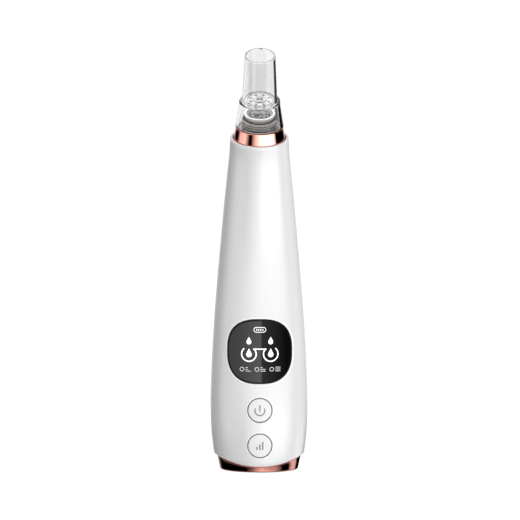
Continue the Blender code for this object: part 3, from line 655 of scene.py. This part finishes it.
def make_housing(white, painted_highlight_white):
    front = half_shell("front_housing", -1, white)
    rim = squircle(WINDOW_HALF + GAP)
    floor = WINDOW_THICKNESS + GAP
    shares = (0.2, 0.4, 0.6, 0.8, 1.0)
    layers = [(None, -4.0), *((scaled(rim, share), -4.0) for share in shares),
              *((scaled(rim, share), floor) for share in reversed(shares)), (None, floor)]
    cutters = [plate_on_front("cut_recess", layers, WINDOW_CENTRE, white)]
    through = [(x, WINDOW_HEIGHT + z) for x, z in squircle(WINDOW_HOLE_HALF, 96)]
    cutters.append(extruded("cut_through", through, -30.0, -8.0, white, "Y"))
    for number, height in enumerate((POWER_BUTTON_HEIGHT, MODE_BUTTON_HEIGHT)):
        hole = circle(BUTTON_HOLE_RADIUS, (0.0, height), 96)
        cutters.append(extruded(f"cut_button_{number}", hole, -30.0, -8.0, white, "Y"))
    cut(front, *cutters)
    place_piece(front, "handle", "satin_white", "front_shell")

    rear = half_shell("rear_housing", 1, white)
    play = 0.5
    mouth = stadium(SOCKET_HALF_WIDTH + play, SOCKET_HALF_THICKNESS + play)
    mouth = [(x, SOCKET_HEIGHT + z) for x, z in mouth]
    cut(rear, extruded("cut_mouth", mouth, 10.0, 30.0, white, "Y"))
    place_piece(rear, "handle", "satin_white", "rear_shell")

    # The rims round the window and the buttons take a lighter white than the housing: a painted highlight
    bezel = bead("window_bezel", squircle, WINDOW_HALF + 0.12, BEZEL_WIDTH, BEZEL_RISE, WINDOW_CENTRE, painted_highlight_white)
    place_piece(bezel, "handle", "satin_white")
    for label, height in (("power", POWER_BUTTON_HEIGHT), ("mode", MODE_BUTTON_HEIGHT)):
        ring = bead(f"{label}_button_rim", lambda r: circle(r, segments=128), BUTTON_HOLE_RADIUS - 0.03,
                    BUTTON_RIM_WIDTH, BUTTON_RIM_RISE, (0.0, height), painted_highlight_white)
        place_piece(ring, "handle", "satin_white")


def bead(name, outline_of, inner, width, rise, centre, finish):
    """A low rounded rim on the housing round an opening."""
    layers, steps = [], 10
    for step in range(steps + 1):
        t = step / steps
        lift = rise * math.sin(math.pi * t) ** 0.7 if 0.0 < t < 1.0 else 0.0
        layers.append((outline_of(inner + width * t), -lift))
    layers.append((outline_of(inner + width), 0.35))
    layers.append((outline_of(inner), 0.6))
    return plate_on_front(name, layers, centre, finish)


# ---- window and its symbols


def make_window(glass, black):
    outline = squircle(WINDOW_HALF)
    layers = [(None, GLASS_DEPTH), *((scaled(outline, share / 12.0), GLASS_DEPTH) for share in range(1, 12))]
    for step in range(6):
        angle = math.pi / 2.0 * step / 5.0
        share = 1.0 - 0.022 * (1.0 - math.sin(angle))
        layers.append((scaled(outline, share), GLASS_DEPTH + 0.3 * (1.0 - math.cos(angle))))
    layers += [(shape, WINDOW_THICKNESS) for shape in (outline, scaled(outline, 0.5), None)]
    window = plate_on_front("window_glass", layers, WINDOW_CENTRE, glass)
    place_piece(window, "handle", "black_gloss", "display_window")
    width = 0.42
    band = stroke(squircle(WINDOW_HALF - width), width, True)
    place_piece(film("window_border", band, WINDOW_CENTRE, black, -0.03), "handle", "black_plastic")


def film(name, cells, centre, finish, lift, depth=0.05):
    """A thin closed film on the housing's front from four-cornered cells of plane points."""
    points, faces, numbers = [], [], {}

    def number_of(place, layer):
        key = (round(place[0], 4), round(place[1], 4), layer)
        if key not in numbers:
            x, z = centre[0] + place[0], centre[1] + place[1]
            numbers[key] = len(points)
            points.append((x, front_y(x, z) + (depth - lift if layer else -lift), z))
        return numbers[key]

    edges = {}
    for cell in cells:
        front = [number_of(place, 0) for place in cell]
        back = [number_of(place, 1) for place in cell]
        faces.append(tuple(front))
        faces.append(tuple(reversed(back)))
        for j in range(len(cell)):
            k = (j + 1) % len(cell)
            key = tuple(sorted((front[j], front[k])))
            edges[key] = None if key in edges else (front[j], front[k], back[k], back[j])
    faces += [face for face in edges.values() if face is not None]
    return solid(name, points, faces, finish)


def stroke(path, width, closed=False):
    """Cells of a line of even width along a plane path."""
    count = len(path)
    sides = []
    for j in range(count):
        before = path[j - 1] if closed or j > 0 else path[j]
        after = path[(j + 1) % count] if closed or j < count - 1 else path[j]
        along = (Vector(after) - Vector(before)).normalized()
        offset = Vector((-along.y, along.x)) * width / 2.0
        here = Vector(path[j])
        sides.append((tuple(here - offset), tuple(here + offset)))
    following = sides[1:] + sides[:1] if closed else sides[1:]
    return [(here[0], after[0], after[1], here[1]) for here, after in zip(sides, following)]


def arc(centre, radius, start, end, steps=40):
    turn = [math.radians(start + (end - start) * step / steps) for step in range(steps + 1)]
    return [(centre[0] + radius * math.cos(a), centre[1] + radius * math.sin(a)) for a in turn]


def line(start, end, steps=8):
    return [(start[0] + (end[0] - start[0]) * t / steps, start[1] + (end[1] - start[1]) * t / steps)
            for t in range(steps + 1)]


def drop(centre, width, height):
    """Cells of a filled drop with its point up."""
    steps, rings = 32, 5
    radius = width / 2.0
    middle = (centre[0], centre[1] - height / 2.0 + radius)
    reach = height - radius
    tangent = math.asin(radius / reach)
    outline = []
    for step in range(steps + 1):
        angle = math.pi - tangent + (math.pi + 2.0 * tangent) * step / steps
        outline.append((middle[0] + radius * math.cos(angle), middle[1] + radius * math.sin(angle)))
    tip = (middle[0], middle[1] + reach)
    left, right = outline[0], outline[-1]
    outline += line(right, tip)[1:] + line(tip, left)[1:-1]
    cells = []

    def at(place, share):
        return (middle[0] + (place[0] - middle[0]) * share, middle[1] + (place[1] - middle[1]) * share)

    for here, after in zip(outline, outline[1:] + outline[:1]):
        cells.append((middle, at(here, 1.0 / rings), at(after, 1.0 / rings)))
        for ring in range(1, rings):
            low, high = ring / rings, (ring + 1) / rings
            cells.append((at(here, low), at(here, high), at(after, high), at(after, low)))
    return cells


def make_symbols(white_light, soft_light):
    """The lit symbols: a gauge, drops over two open rings that a bar joins, and three setting marks."""

    def show(name, cells, finish):
        place_piece(film(name, cells, WINDOW_CENTRE, finish, -0.02), "handle", "white_plastic")

    height, end, radius = 9.05, 1.45, 1.0
    top, bottom = height + radius, height - radius
    gauge = [*arc((end, height), radius, -90, 90, 16), *line((end, top), (-end, top), 10)[1:-1],
             *arc((-end, height), radius, 90, 270, 16), *line((-end, bottom), (end, bottom), 10)[1:-1]]
    show("gauge_outline", stroke(gauge, 0.24, True), white_light)
    for number in range(4):
        x = (number - 1.5) * 0.86
        bar = line((x, height - 0.42), (x, height + 0.42), 2)
        show(f"gauge_bar_{number + 1}", stroke(bar, 0.34), white_light)

    ring_x, stroke_width = 4.5, 0.5
    for label, side, start, end in (("left", -1.0, 130, 408), ("right", 1.0, 50, -228)):
        show(f"upper_drop_{label}", drop((side * ring_x, 4.55), 2.0, 3.1), white_light)
        show(f"lower_drop_{label}", drop((side * ring_x, -0.5), 2.25, 3.6), white_light)
        ring = arc((side * ring_x, -1.0), 3.0, start, end)
        show(f"open_ring_{label}", stroke(ring, stroke_width), white_light)
    show("joining_bar", stroke(line((-2.75, 1.05), (2.75, 1.05), 16), stroke_width), white_light)

    # Each mark is a small ring beside three bars, of which one, two or three are long
    for number in range(3):
        middle = (number - 1) * 6.15
        ring = arc((middle - 1.2, -7.3), 0.8, 0, 351, 26)
        show(f"setting_ring_{number + 1}", stroke(ring, 0.24, True), soft_light)
        start = middle + 0.3
        for level in range(3):
            z = -8.05 + 0.75 * level
            length = 1.8 * (1.15 if level <= number else 0.5)
            bar = line((start, z), (start + length, z), 4)
            show(f"setting_bar_{number + 1}_{level + 1}", stroke(bar, 0.26), soft_light)


def make_marks(ink):
    """The printed marks on the two caps: a power symbol, and three bars that rise."""

    def show(name, path, width, body, height):
        place_piece(film(name, stroke(path, width), (0.0, height), ink, 0.03), body, "grey_plastic")

    ring = arc((0.0, -0.1), 2.02, 152, 388)
    show("power_ring_mark", ring, 0.52, "power_cap", POWER_BUTTON_HEIGHT)
    show("power_bar_mark", line((0.0, -0.5), (0.0, 2.15), 6), 0.52, "power_cap", POWER_BUTTON_HEIGHT)
    for number, length in enumerate((1.3, 2.3, 3.3)):
        x = (number - 1) * 1.2
        bar = line((x, -1.65), (x, -1.65 + length), 6)
        show(f"level_mark_{number + 1}", bar, 0.62, "mode_cap", MODE_BUTTON_HEIGHT)


def make_cap(name, node, body, height, white):
    """A push cap with a soft edge, its flange behind the wall and its stem."""
    rings = [("face", 0.0, 0.0)]
    rings += [("face", BUTTON_RADIUS * share / 8.0, 0.0) for share in range(1, 8)]
    rings += [("face", BUTTON_RADIUS - inset, depth) for inset, depth in fillet(CAP_FILLET, 6)]
    rings += [("flat", BUTTON_RADIUS, FLANGE_FRONT), ("flat", FLANGE_RADIUS, FLANGE_FRONT),
              ("flat", FLANGE_RADIUS, FLANGE_BACK), ("flat", STEM_RADIUS, FLANGE_BACK),
              ("flat", STEM_RADIUS, STEM_END), ("flat", 0.0, STEM_END)]
    rows = []
    for kind, radius, depth in rings:
        row = []
        for x, z in circle(radius, segments=128) if radius else [(0.0, 0.0)]:
            y = front_y(x, height + z) + depth if kind == "face" else depth
            row.append((x, y, height + z))
        rows.append(row)
    cap = lofted(name, rows, white)
    place_piece(cap, body, "satin_white", node)


# ---- metal trims


def make_base_trim(rose):
    def profile(angle):
        top = seam_height(TRIM_TOP_RADIUS * math.cos(angle)) - GAP
        outer = TRIM_BOTTOM_RADIUS
        slope = (TRIM_TOP_RADIUS - TRIM_BOTTOM_RADIUS) / (TRIM_FLARE_END - TRIM_FLARE_START)
        edge = outer + slope * (top - TRIM_FLARE_START)
        low = GAP + TRIM_FILLET
        corner = [(outer - inset, GAP + rise) for inset, rise in fillet(TRIM_FILLET, 8)]
        side = [(outer + (edge - outer) * share, low + (top - low) * share) for share in (0.06, 0.5, 0.9)]
        return [(TRIM_BORE, GAP), *corner, *side, (edge, top - 0.15), (edge - 0.15, top),
                (COLLAR_RADIUS, top), (COLLAR_RADIUS, top + COLLAR_HEIGHT), (TRIM_BORE, top + COLLAR_HEIGHT)]

    place_piece(turned("foot_ring", profile, rose, segments=192), "handle", "rose_gold", "base_trim")


def make_neck_ring(rose):
    outer = [(RING_BOTTOM_RADIUS, -RING_SLEEVE), (RING_BOTTOM_RADIUS, 0.0), (RING_TOP_RADIUS, RING_HEIGHT),
             (RING_BORE, RING_HEIGHT), (RING_BORE, -RING_SLEEVE)]
    ring = turned("neck_collar", rounded(outer, 0.22), rose, neck_frame(0.0), 192)
    place_piece(ring, "handle", "rose_gold", "neck_ring")


# ---- neck and suction tip


def make_spigot(white, seal_grey, painted_groove_shade, foam):
    """The tube that the tip sits over, white round its mouth with a painted glow, with its ribbed seal and
    its sponge.
    """
    flange, rim = RING_BORE - GAP, SPIGOT_RADIUS + 0.3
    tube = [(SPIGOT_BORE, 3.6), (SPIGOT_BORE, RING_HEIGHT), (SPIGOT_BORE, SPIGOT_TOP - 1.1),
            (rim - 0.7, SPIGOT_TOP - 0.7), (rim - 0.6, SPIGOT_TOP), (rim, SPIGOT_TOP),
            (rim, SPIGOT_TOP - 1.4), (SPIGOT_RADIUS, SPIGOT_TOP - 1.8), (SPIGOT_RADIUS, RING_HEIGHT),
            (SPIGOT_RADIUS, 1.8), (flange, 1.8), (flange, 0.2), (7.0, 0.2), (7.0, -2.6),
            (BARB_RADIUS + 1.0, -3.6), (BARB_RADIUS, -4.4), (BARB_RADIUS, BARB_BOTTOM),
            (BARB_BORE, BARB_BOTTOM), (BARB_BORE, 1.2)]
    spigot = turned("vacuum_spigot", rounded(tube, 0.22, 3), white, segments=96, frame_of=neck_frame)
    two_tone(spigot, seal_grey, SPIGOT_TOP, lambda from_axis, z: z < -0.45)
    place_piece(spigot, "handle", "white_plastic", "tip_spigot")

    base, inner = RING_HEIGHT, SPIGOT_RADIUS + GAP
    ribs = [(inner, base - 2.7), (flange, base - 2.7), (flange, base + 0.1)]
    for number in range(RIB_COUNT):
        low = base + 0.25 + RIB_PITCH * number
        crest = RIB_CREST - 0.06 * number
        ribs += [(RIB_ROOT, low), (crest, low + 0.3), (crest, low + 0.65), (RIB_ROOT, low + 0.95)]
    ribs += [(inner, base + 4.62), (inner, base)]
    seal = turned("ribbed_seal", rounded(ribs, 0.12, 3), seal_grey, segments=96, frame_of=neck_frame)
    # The faces between the seal's ribs get a dark brown: painted shade in the grooves
    two_tone(seal, painted_groove_shade, base, lambda from_axis, z: from_axis < (RIB_ROOT + RIB_CREST) / 2.0 and z > 0.2)
    place_piece(seal, "handle", "silicone", "tip_seal")

    radius = SPIGOT_BORE - GAP
    disc = [(0.0, SPONGE_BOTTOM), (radius, SPONGE_BOTTOM), (radius, SPONGE_TOP), (0.0, SPONGE_TOP)]
    pad = turned("sponge_disc", rounded(disc, 0.5, 4), foam, segments=64, frame_of=neck_frame)
    place_piece(pad, "handle", "foam", "filter_sponge")


def two_tone(piece, finish, height, holds):
    """Gives finish to the faces of a piece on the neck for which holds(distance from the axis, height over
    the given height) is true."""
    piece.data.materials.append(finish)
    inverse = neck_frame(height).inverted()
    for face in piece.data.polygons:
        spot = inverse @ (face.center / MM)
        if holds(math.hypot(spot.x, spot.y), spot.z):
            face.material_index = 1


def make_tip(clear, *finishes):
    """The clear tip: a cup whose lower edge follows the ring's top, a perforated floor and the nozzle.
    finishes are those of the outside, with painted reflection bands, the floor, with a painted glow, the rim,
    with a painted glow and painted dark dashes, the lower edge, painted dark where seen edge-on, and the
    floor's side walls, in painted shade."""
    place = tip_frame()
    floor_bottom = FLOOR_TOP - FLOOR_THICKNESS
    bottom_bore = NOZZLE_BOTTOM_RADIUS - NOZZLE_WALL
    top_bore = NOZZLE_TOP_RADIUS - NOZZLE_WALL
    taper = (CUP_BOTTOM_RADIUS - CUP_SHOULDER_RADIUS) / CUP_HEIGHT
    lean = math.tan(TIP_TILT - HEAD_TILT)

    def profile(angle):
        outer_low = GAP - lean * CUP_BOTTOM_RADIUS * math.sin(angle)
        inner_low = GAP - lean * (CUP_BOTTOM_RADIUS - CUP_WALL) * math.sin(angle)
        return rounded([
            (0.0, floor_bottom), (CUP_SHOULDER_RADIUS - CUP_WALL, floor_bottom),
            (CUP_BOTTOM_RADIUS - CUP_WALL - taper * inner_low, inner_low),
            (CUP_BOTTOM_RADIUS - taper * outer_low, outer_low), (CUP_SHOULDER_RADIUS, CUP_HEIGHT),
            (NOZZLE_BOTTOM_RADIUS, CUP_HEIGHT + 0.2), (NOZZLE_TOP_RADIUS, TIP_HEIGHT), (top_bore, TIP_HEIGHT),
            (bottom_bore, FLOOR_TOP), *[(radius, FLOOR_TOP + rise) for radius, rise in FLOOR_RELIEF],
        ], 0.4, 6)

    tip = turned("clear_tip", profile, clear, place, 144)
    holes = [circle(CENTRE_HOLE_RADIUS, segments=48)]
    for number in range(RING_HOLE_COUNT):
        angle = 2.0 * math.pi * (number + 0.5) / RING_HOLE_COUNT
        middle = (RING_HOLE_CIRCLE * math.cos(angle), RING_HOLE_CIRCLE * math.sin(angle))
        holes.append(circle(RING_HOLE_RADIUS, middle, 24))
    cut(tip, *[extruded(f"cut_hole_{number}", hole, floor_bottom - 2.0, FLOOR_TOP + 3.0, clear, "Z", place)
               for number, hole in enumerate(holes)])
    for finish in finishes:
        tip.data.materials.append(finish)
    outside, floor, at_rim, at_edge, floor_side = range(1, 6)
    inverse = place.inverted()
    for face in tip.data.polygons:
        spot = inverse @ (face.center / MM)
        cup = spot.z < CUP_HEIGHT - 0.5
        limit = CUP_SHOULDER_RADIUS - 0.3 if cup else NOZZLE_TOP_RADIUS - 0.25
        from_axis = math.hypot(spot.x, spot.y)
        above_edge = spot.z - GAP + lean * spot.y
        if spot.z > TIP_HEIGHT - 0.5:
            face.material_index = at_rim
        elif from_axis < bottom_bore - 0.3 and spot.z < FLOOR_TOP + 1.0:
            flat = abs((inverse.to_3x3() @ face.normal).z) > 0.6
            face.material_index = floor if flat else floor_side
        elif from_axis > CUP_BOTTOM_RADIUS - 0.8 and above_edge < 0.55:
            face.material_index = at_edge
        elif from_axis > limit and above_edge > 1.0:
            face.material_index = outside
    place_piece(tip, "tip", "clear_plastic", "suction_tip")


# ---- finishes


def slot_finishes():
    """The finish of each material slot."""
    return {
        "satin_white": moulded("satin_white_plastic", (0.795, 0.795, 0.8), (0.805, 0.805, 0.81),
                               (0.235, 0.268), Specular_IOR_Level=1.0),
        "rose_gold": metal("rose_gold_plating", (0.97, 0.425, 0.35), (0.96, 0.41, 0.335), (0.03, 0.06)),
        "clear_plastic": clear_plastic("clear_acrylic", (0.82, 0.822, 0.825)),
        "black_gloss": moulded("black_glass", grey(0.004), grey(0.006), (0.03, 0.07), grain=900.0,
                               relief=0.000004, strength=0.05),
        "white_plastic": moulded("white_plastic", (0.86, 0.86, 0.85), (0.82, 0.82, 0.81), (0.35, 0.5)),
        "grey_plastic": moulded("grey_plastic", (0.42, 0.43, 0.45), (0.48, 0.49, 0.51), (0.45, 0.6)),
        "black_plastic": moulded("black_plastic", (0.02, 0.02, 0.021), (0.035, 0.035, 0.036), (0.4, 0.55)),
        "rubber_pad": moulded("rubber", (0.03, 0.03, 0.032), (0.05, 0.05, 0.052), (0.65, 0.85), grain=1500.0,
                              relief=0.00005, strength=0.5),
        "silicone": moulded("grey_silicone", grey(0.5), (0.58, 0.57, 0.57), (0.4, 0.55), strength=0.15),
        "clear_silicone": moulded("clear_silicone", (0.86, 0.87, 0.86), (0.8, 0.81, 0.8), (0.3, 0.45),
                                  Transmission_Weight=0.5),
        "foam": moulded("foam", (0.82, 0.82, 0.8), (0.62, 0.62, 0.6), (0.85, 1.0), grain=1400.0,
                        relief=0.0003, strength=0.9),
        "steel": metal("drawn_steel", (0.62, 0.62, 0.63), (0.52, 0.52, 0.54), (0.2, 0.38)),
        "brass": metal("turned_brass", (0.78, 0.6, 0.3), (0.7, 0.52, 0.26), (0.2, 0.35), (1.0, 1.0, 0.1)),
        "copper": metal("wound_copper", (0.75, 0.42, 0.24), (0.6, 0.3, 0.16), (0.25, 0.45), (1.0, 1.0, 0.05),
                        1600.0, 0.5),
        "circuit_board": moulded("circuit_board", (0.02, 0.16, 0.08), (0.03, 0.22, 0.11), (0.25, 0.45),
                                 grain=700.0, relief=0.00004),
        "battery_sleeve": moulded("battery_sleeve", (0.04, 0.17, 0.5), (0.05, 0.2, 0.56), (0.2, 0.35),
                                  grain=500.0),
        "red_insulation": moulded("red_insulation", (0.55, 0.04, 0.03), (0.62, 0.06, 0.04), (0.35, 0.5)),
    }


def finish_nodes(by_slot):
    """Gives each CAD node that still shows the material of its slot."""
    slots = {part["node"]: part["material_slot"] for part in frame["record"]["subparts"]}
    for name, node in frame["nodes"].items():
        node.data.materials.clear()
        node.data.materials.append(by_slot[slots[name]])


# ---- studio

FLOOR_HALF = 8.0  # metres
SOFT_BOX_DISTANCE = 400.0
SOFT_BOX_MIDDLE = 90.0
SOFT_BOX_HEIGHT = 440.0
# Name, bearing to the right of the front, width and power of each soft box on the white housing
SOFT_BOXES = (("key", 43.5, 640.0, 0.84), ("side", 120.0, 300.0, 0.2))
CAMERA_AZIMUTH = math.radians(-1.0)
CAMERA_ELEVATION = math.radians(6.5)
CAMERA_DISTANCE = 2000.0
CAMERA_TARGET = (0.4, 0.0, 86.9)
VIEW_WIDTH = 214.76
# How far below the level an upright wall reflects this view: the sine of the camera's elevation
LEVEL_DROP = 0.113


def make_floor():
    made = Nodes("studio_floor")
    mottle = made.spread(made.noise(3.0), 0.0, 1.0)
    made.link(made.mix(mottle, grey(0.1), grey(0.12)), "Base Color")
    made.link(made.mix(mottle, grey(0.985), grey(1.0)), "Emission Color")
    made.link(made.spread(made.noise(20.0), 0.8, 0.95), "Roughness")
    made.set(Specular_IOR_Level=0.0, Emission_Strength=0.96)
    mesh = bpy.data.meshes.new("floor")
    corners = [(x * FLOOR_HALF, y * FLOOR_HALF, 0.0) for x, y in ((-1, -1), (1, -1), (1, 1), (-1, 1))]
    mesh.from_pydata(corners, [], [(0, 1, 2, 3)])
    mesh.materials.append(made.material)
    floor = add_object("floor", mesh)
    floor.visible_glossy = False
    floor.visible_diffuse = False
    floor.visible_shadow = False


class Sky(Tree):
    """Soft boxes and dark flags round the object as a function of direction. Azimuth runs from the
    front, positive to the right; the lower half is seen only by polished parts."""

    def __init__(self):
        world = bpy.data.worlds.new("studio")
        bpy.context.scene.world = world
        world.use_nodes = True
        super().__init__(world.node_tree)
        self.x, self.y, self.z = self.split(self.node("TexCoord").outputs["Generated"])
        to_front = self.math("MULTIPLY", self.y, -1.0)
        turn = self.math("ARCTAN2", self.x, to_front)
        self.azimuth = self.math("MULTIPLY", turn, 180.0 / math.pi)
        squares = [self.math("MULTIPLY", axis, axis) for axis in (self.x, self.y)]
        flat = self.math("SQRT", self.math("ADD", *squares))
        self.facing = self.math("DIVIDE", to_front, self.math("MAXIMUM", flat, 0.0001))

    def ramp(self, source, low, high, stops, top=1.0):
        """A value that follows stops of (position, value) between low and high."""
        share = self.math("DIVIDE", self.math("SUBTRACT", source, low), high - low, True)
        return self.math("MULTIPLY", self.levels(share, stops, low, high, top), top)

    def around(self, *stops):
        """Light all round: the stops are the edges of a few soft boxes and flags, as (azimuth, level)."""
        return self.ramp(self.azimuth, -180.0, 180.0, stops, 4.0)

    def mix(self, share, a, b):
        """a where share is 0 and b where it is 1."""
        return self.math("ADD", self.math("MULTIPLY", a, self.math("SUBTRACT", 1.0, share)),
                         self.math("MULTIPLY", b, share))


def make_sky():
    sky = Sky()
    # How far below the level a reflection goes, measured so that each polished ring has one value
    drop_down = sky.math("ADD", sky.z, LEVEL_DROP)
    dip = sky.math("DIVIDE", drop_down, sky.math("MAXIMUM", sky.math("ADD", sky.facing, 1.0), 0.02))
    steep = sky.math("DIVIDE", drop_down, sky.math("ADD", sky.facing, 1.6))

    neck = sky.around(
        (-180, 0.9), (-160, 0.7), (-140, 0.0), (-115, 0.0), (-90, 1.6), (-75, 1.6), (-50, 0.0), (-38, 0.0),
        (10, 3.0), (65, 3.0), (80, 0.0), (140, 0.0), (160, 0.9), (180, 0.9))
    foot = sky.around(
        (-180, 0.6), (-145, 0.0), (-40, 0.0), (25, 0.6), (50, 0.5), (75, 0.0), (100, 0.0), (115, 0.8),
        (130, 0.8), (140, 0.0), (180, 0.0))
    below = sky.math("ADD", foot, 0.1)
    level = sky.around(
        (-180, 0.7), (-90, 1.0), (-45, 1.4), (3.5, 2.25), (6, 0.6), (70, 0.0), (100, 0.0), (140, 0.6),
        (180, 0.7))
    upper = sky.around(
        (-180, 0.9), (-20, 0.4), (10, 0.7), (55, 0.7), (75, 0.1), (115, 0.1), (140, 0.8), (180, 0.9))
    overhead = 1.1

    # From the ground up to overhead, each kind of light fades into the next
    ground = sky.mix(sky.ramp(steep, -0.3, 0.0, ((-0.235, 0.0), (-0.22, 1.0))), below, foot)
    low = sky.mix(sky.ramp(dip, -0.3, 0.0, ((-0.165, 0.0), (-0.125, 1.0))), ground, neck)
    in_front = sky.ramp(sky.azimuth, -180.0, 180.0, ((-95, 0.0), (-90, 1.0), (85, 1.0), (90, 0.0)))
    at_level = sky.ramp(dip, -0.3, 0.0, ((-0.018, 0.0), (-0.008, 1.0)))
    middle = sky.mix(sky.math("MULTIPLY", in_front, at_level), low, level)
    high = sky.mix(sky.ramp(sky.z, -1.0, 1.0, ((0.02, 0.0), (0.12, 1.0))), middle, upper)
    whole = sky.mix(sky.ramp(sky.z, -1.0, 1.0, ((0.6, 0.0), (0.85, 1.0))), high, overhead)
    sky.join(whole, sky.tree.nodes["Background"].inputs["Color"])


def make_soft_boxes(*names):
    """Two tall soft boxes that light the named pieces alone: in front on the right, and behind it."""
    receivers = bpy.data.collections.new("soft_box_receivers")
    for name in names:
        receivers.objects.link(bpy.data.objects[name])
    for name, bearing, width, power in SOFT_BOXES:
        turn = math.radians(bearing)
        data = bpy.data.lights.new(name, "AREA")
        data.shape = "RECTANGLE"
        data.size = width * MM
        data.size_y = SOFT_BOX_HEIGHT * MM
        data.energy = power
        box = add_object(name, data)
        x, y = math.sin(turn) * SOFT_BOX_DISTANCE, -math.cos(turn) * SOFT_BOX_DISTANCE
        box.location = Vector((x, y, SOFT_BOX_MIDDLE)) * MM
        box.rotation_euler = (math.pi / 2.0, 0.0, turn)
        box.visible_camera = False
        box.light_linking.receiver_collection = receivers


def make_camera():
    """A long view from slightly above and a touch to the left of the front."""
    data = bpy.data.cameras.new("camera")
    data.type = "ORTHO"
    data.ortho_scale = VIEW_WIDTH * MM
    camera = add_object("camera", data)
    level = math.cos(CAMERA_ELEVATION)
    away = Vector((math.sin(CAMERA_AZIMUTH) * level, -math.cos(CAMERA_AZIMUTH) * level,
                   math.sin(CAMERA_ELEVATION)))
    camera.location = (Vector(CAMERA_TARGET) + away * CAMERA_DISTANCE) * MM
    camera.rotation_euler = (math.pi / 2.0 - CAMERA_ELEVATION, 0.0, CAMERA_AZIMUTH)
    bpy.context.scene.camera = camera
    bpy.context.scene.view_settings.view_transform = "Standard"


def main():
    by_slot = slot_finishes()
    white, glass = by_slot["satin_white"], by_slot["black_gloss"]
    rose, clear = by_slot["rose_gold"], by_slot["clear_plastic"]
    # A lighter white for the rims round the openings: a painted highlight
    painted_highlight_white = moulded("white_plastic_painted_highlight", (0.93, 0.93, 0.935), (0.95, 0.95, 0.955), (0.25, 0.34),
                     grain=4000.0, strength=0.1)
    cap_white = moulded("cap_white_plastic", (0.82, 0.82, 0.825), (0.84, 0.84, 0.845), (0.3, 0.38),
                        strength=0.15)
    border_black = moulded("border_black", grey(0.004), grey(0.007), (0.4, 0.5), Specular_IOR_Level=0.15)
    light = lit("lit_symbol", grey(1.0), (0.93, 0.94, 0.95), 0.9)
    soft = lit("soft_symbol", (0.82, 0.82, 0.83), (0.7, 0.7, 0.72), 0.3)
    ink = moulded("printed_grey", (0.3, 0.3, 0.31), (0.36, 0.36, 0.37), (0.5, 0.6))
    # The spigot's white mouth glows: painted light
    spigot_white_painted_glow = moulded("spigot_white_painted_glow", grey(0.93), grey(0.96), (0.12, 0.2), strength=0.1,
                           Emission_Color=WHITE_GLOW, Emission_Strength=0.8)
    seal_grey = moulded("seal_grey", (0.66, 0.63, 0.62), (0.74, 0.71, 0.7), (0.06, 0.1), grain=900.0,
                        strength=0.1, Metallic=0.4)
    # Dark brown for the seal's grooves: painted shade
    painted_groove_shade = moulded("seal_groove", (0.07, 0.03, 0.025), (0.12, 0.05, 0.04), (0.3, 0.4), grain=900.0,
                     strength=0.1)
    # The tip's outer wall carries painted reflections: grey bands and a dark edge band of painted shade
    outside = clear_plastic("clear_acrylic_painted_bands", (0.82, 0.822, 0.825), painted_studio_bands=True)
    # The tip's floor glows a little: painted light; its side walls take a darker grey: painted shade
    floor = clear_plastic("clear_acrylic_floor_painted_glow", grey(0.9), Emission_Color=WHITE_GLOW, Emission_Strength=0.16)
    shade = clear_plastic("clear_acrylic_shade", grey(0.3))

    finish_nodes(by_slot)
    make_camera()
    make_sky()
    make_floor()
    make_housing(white, painted_highlight_white)
    make_window(glass, border_black)
    make_symbols(light, soft)
    make_marks(ink)
    make_cap("power_button_cap", "power_button", "power_cap", POWER_BUTTON_HEIGHT, cap_white)
    make_cap("mode_button_cap", "mode_button", "mode_cap", MODE_BUTTON_HEIGHT, cap_white)
    make_base_trim(rose)
    make_neck_ring(rose)
    make_spigot(spigot_white_painted_glow, seal_grey, painted_groove_shade, pored_foam("pale_foam_painted_light"))
    make_tip(clear, outside, floor, clear_rim("clear_acrylic_rim_painted_light"), clear_edge("clear_acrylic_edge_painted_shade"), shade)
    make_soft_boxes("front_housing", "rear_housing", "window_bezel", "power_button_rim", "mode_button_rim",
                    "power_button_cap", "mode_button_cap")


main()
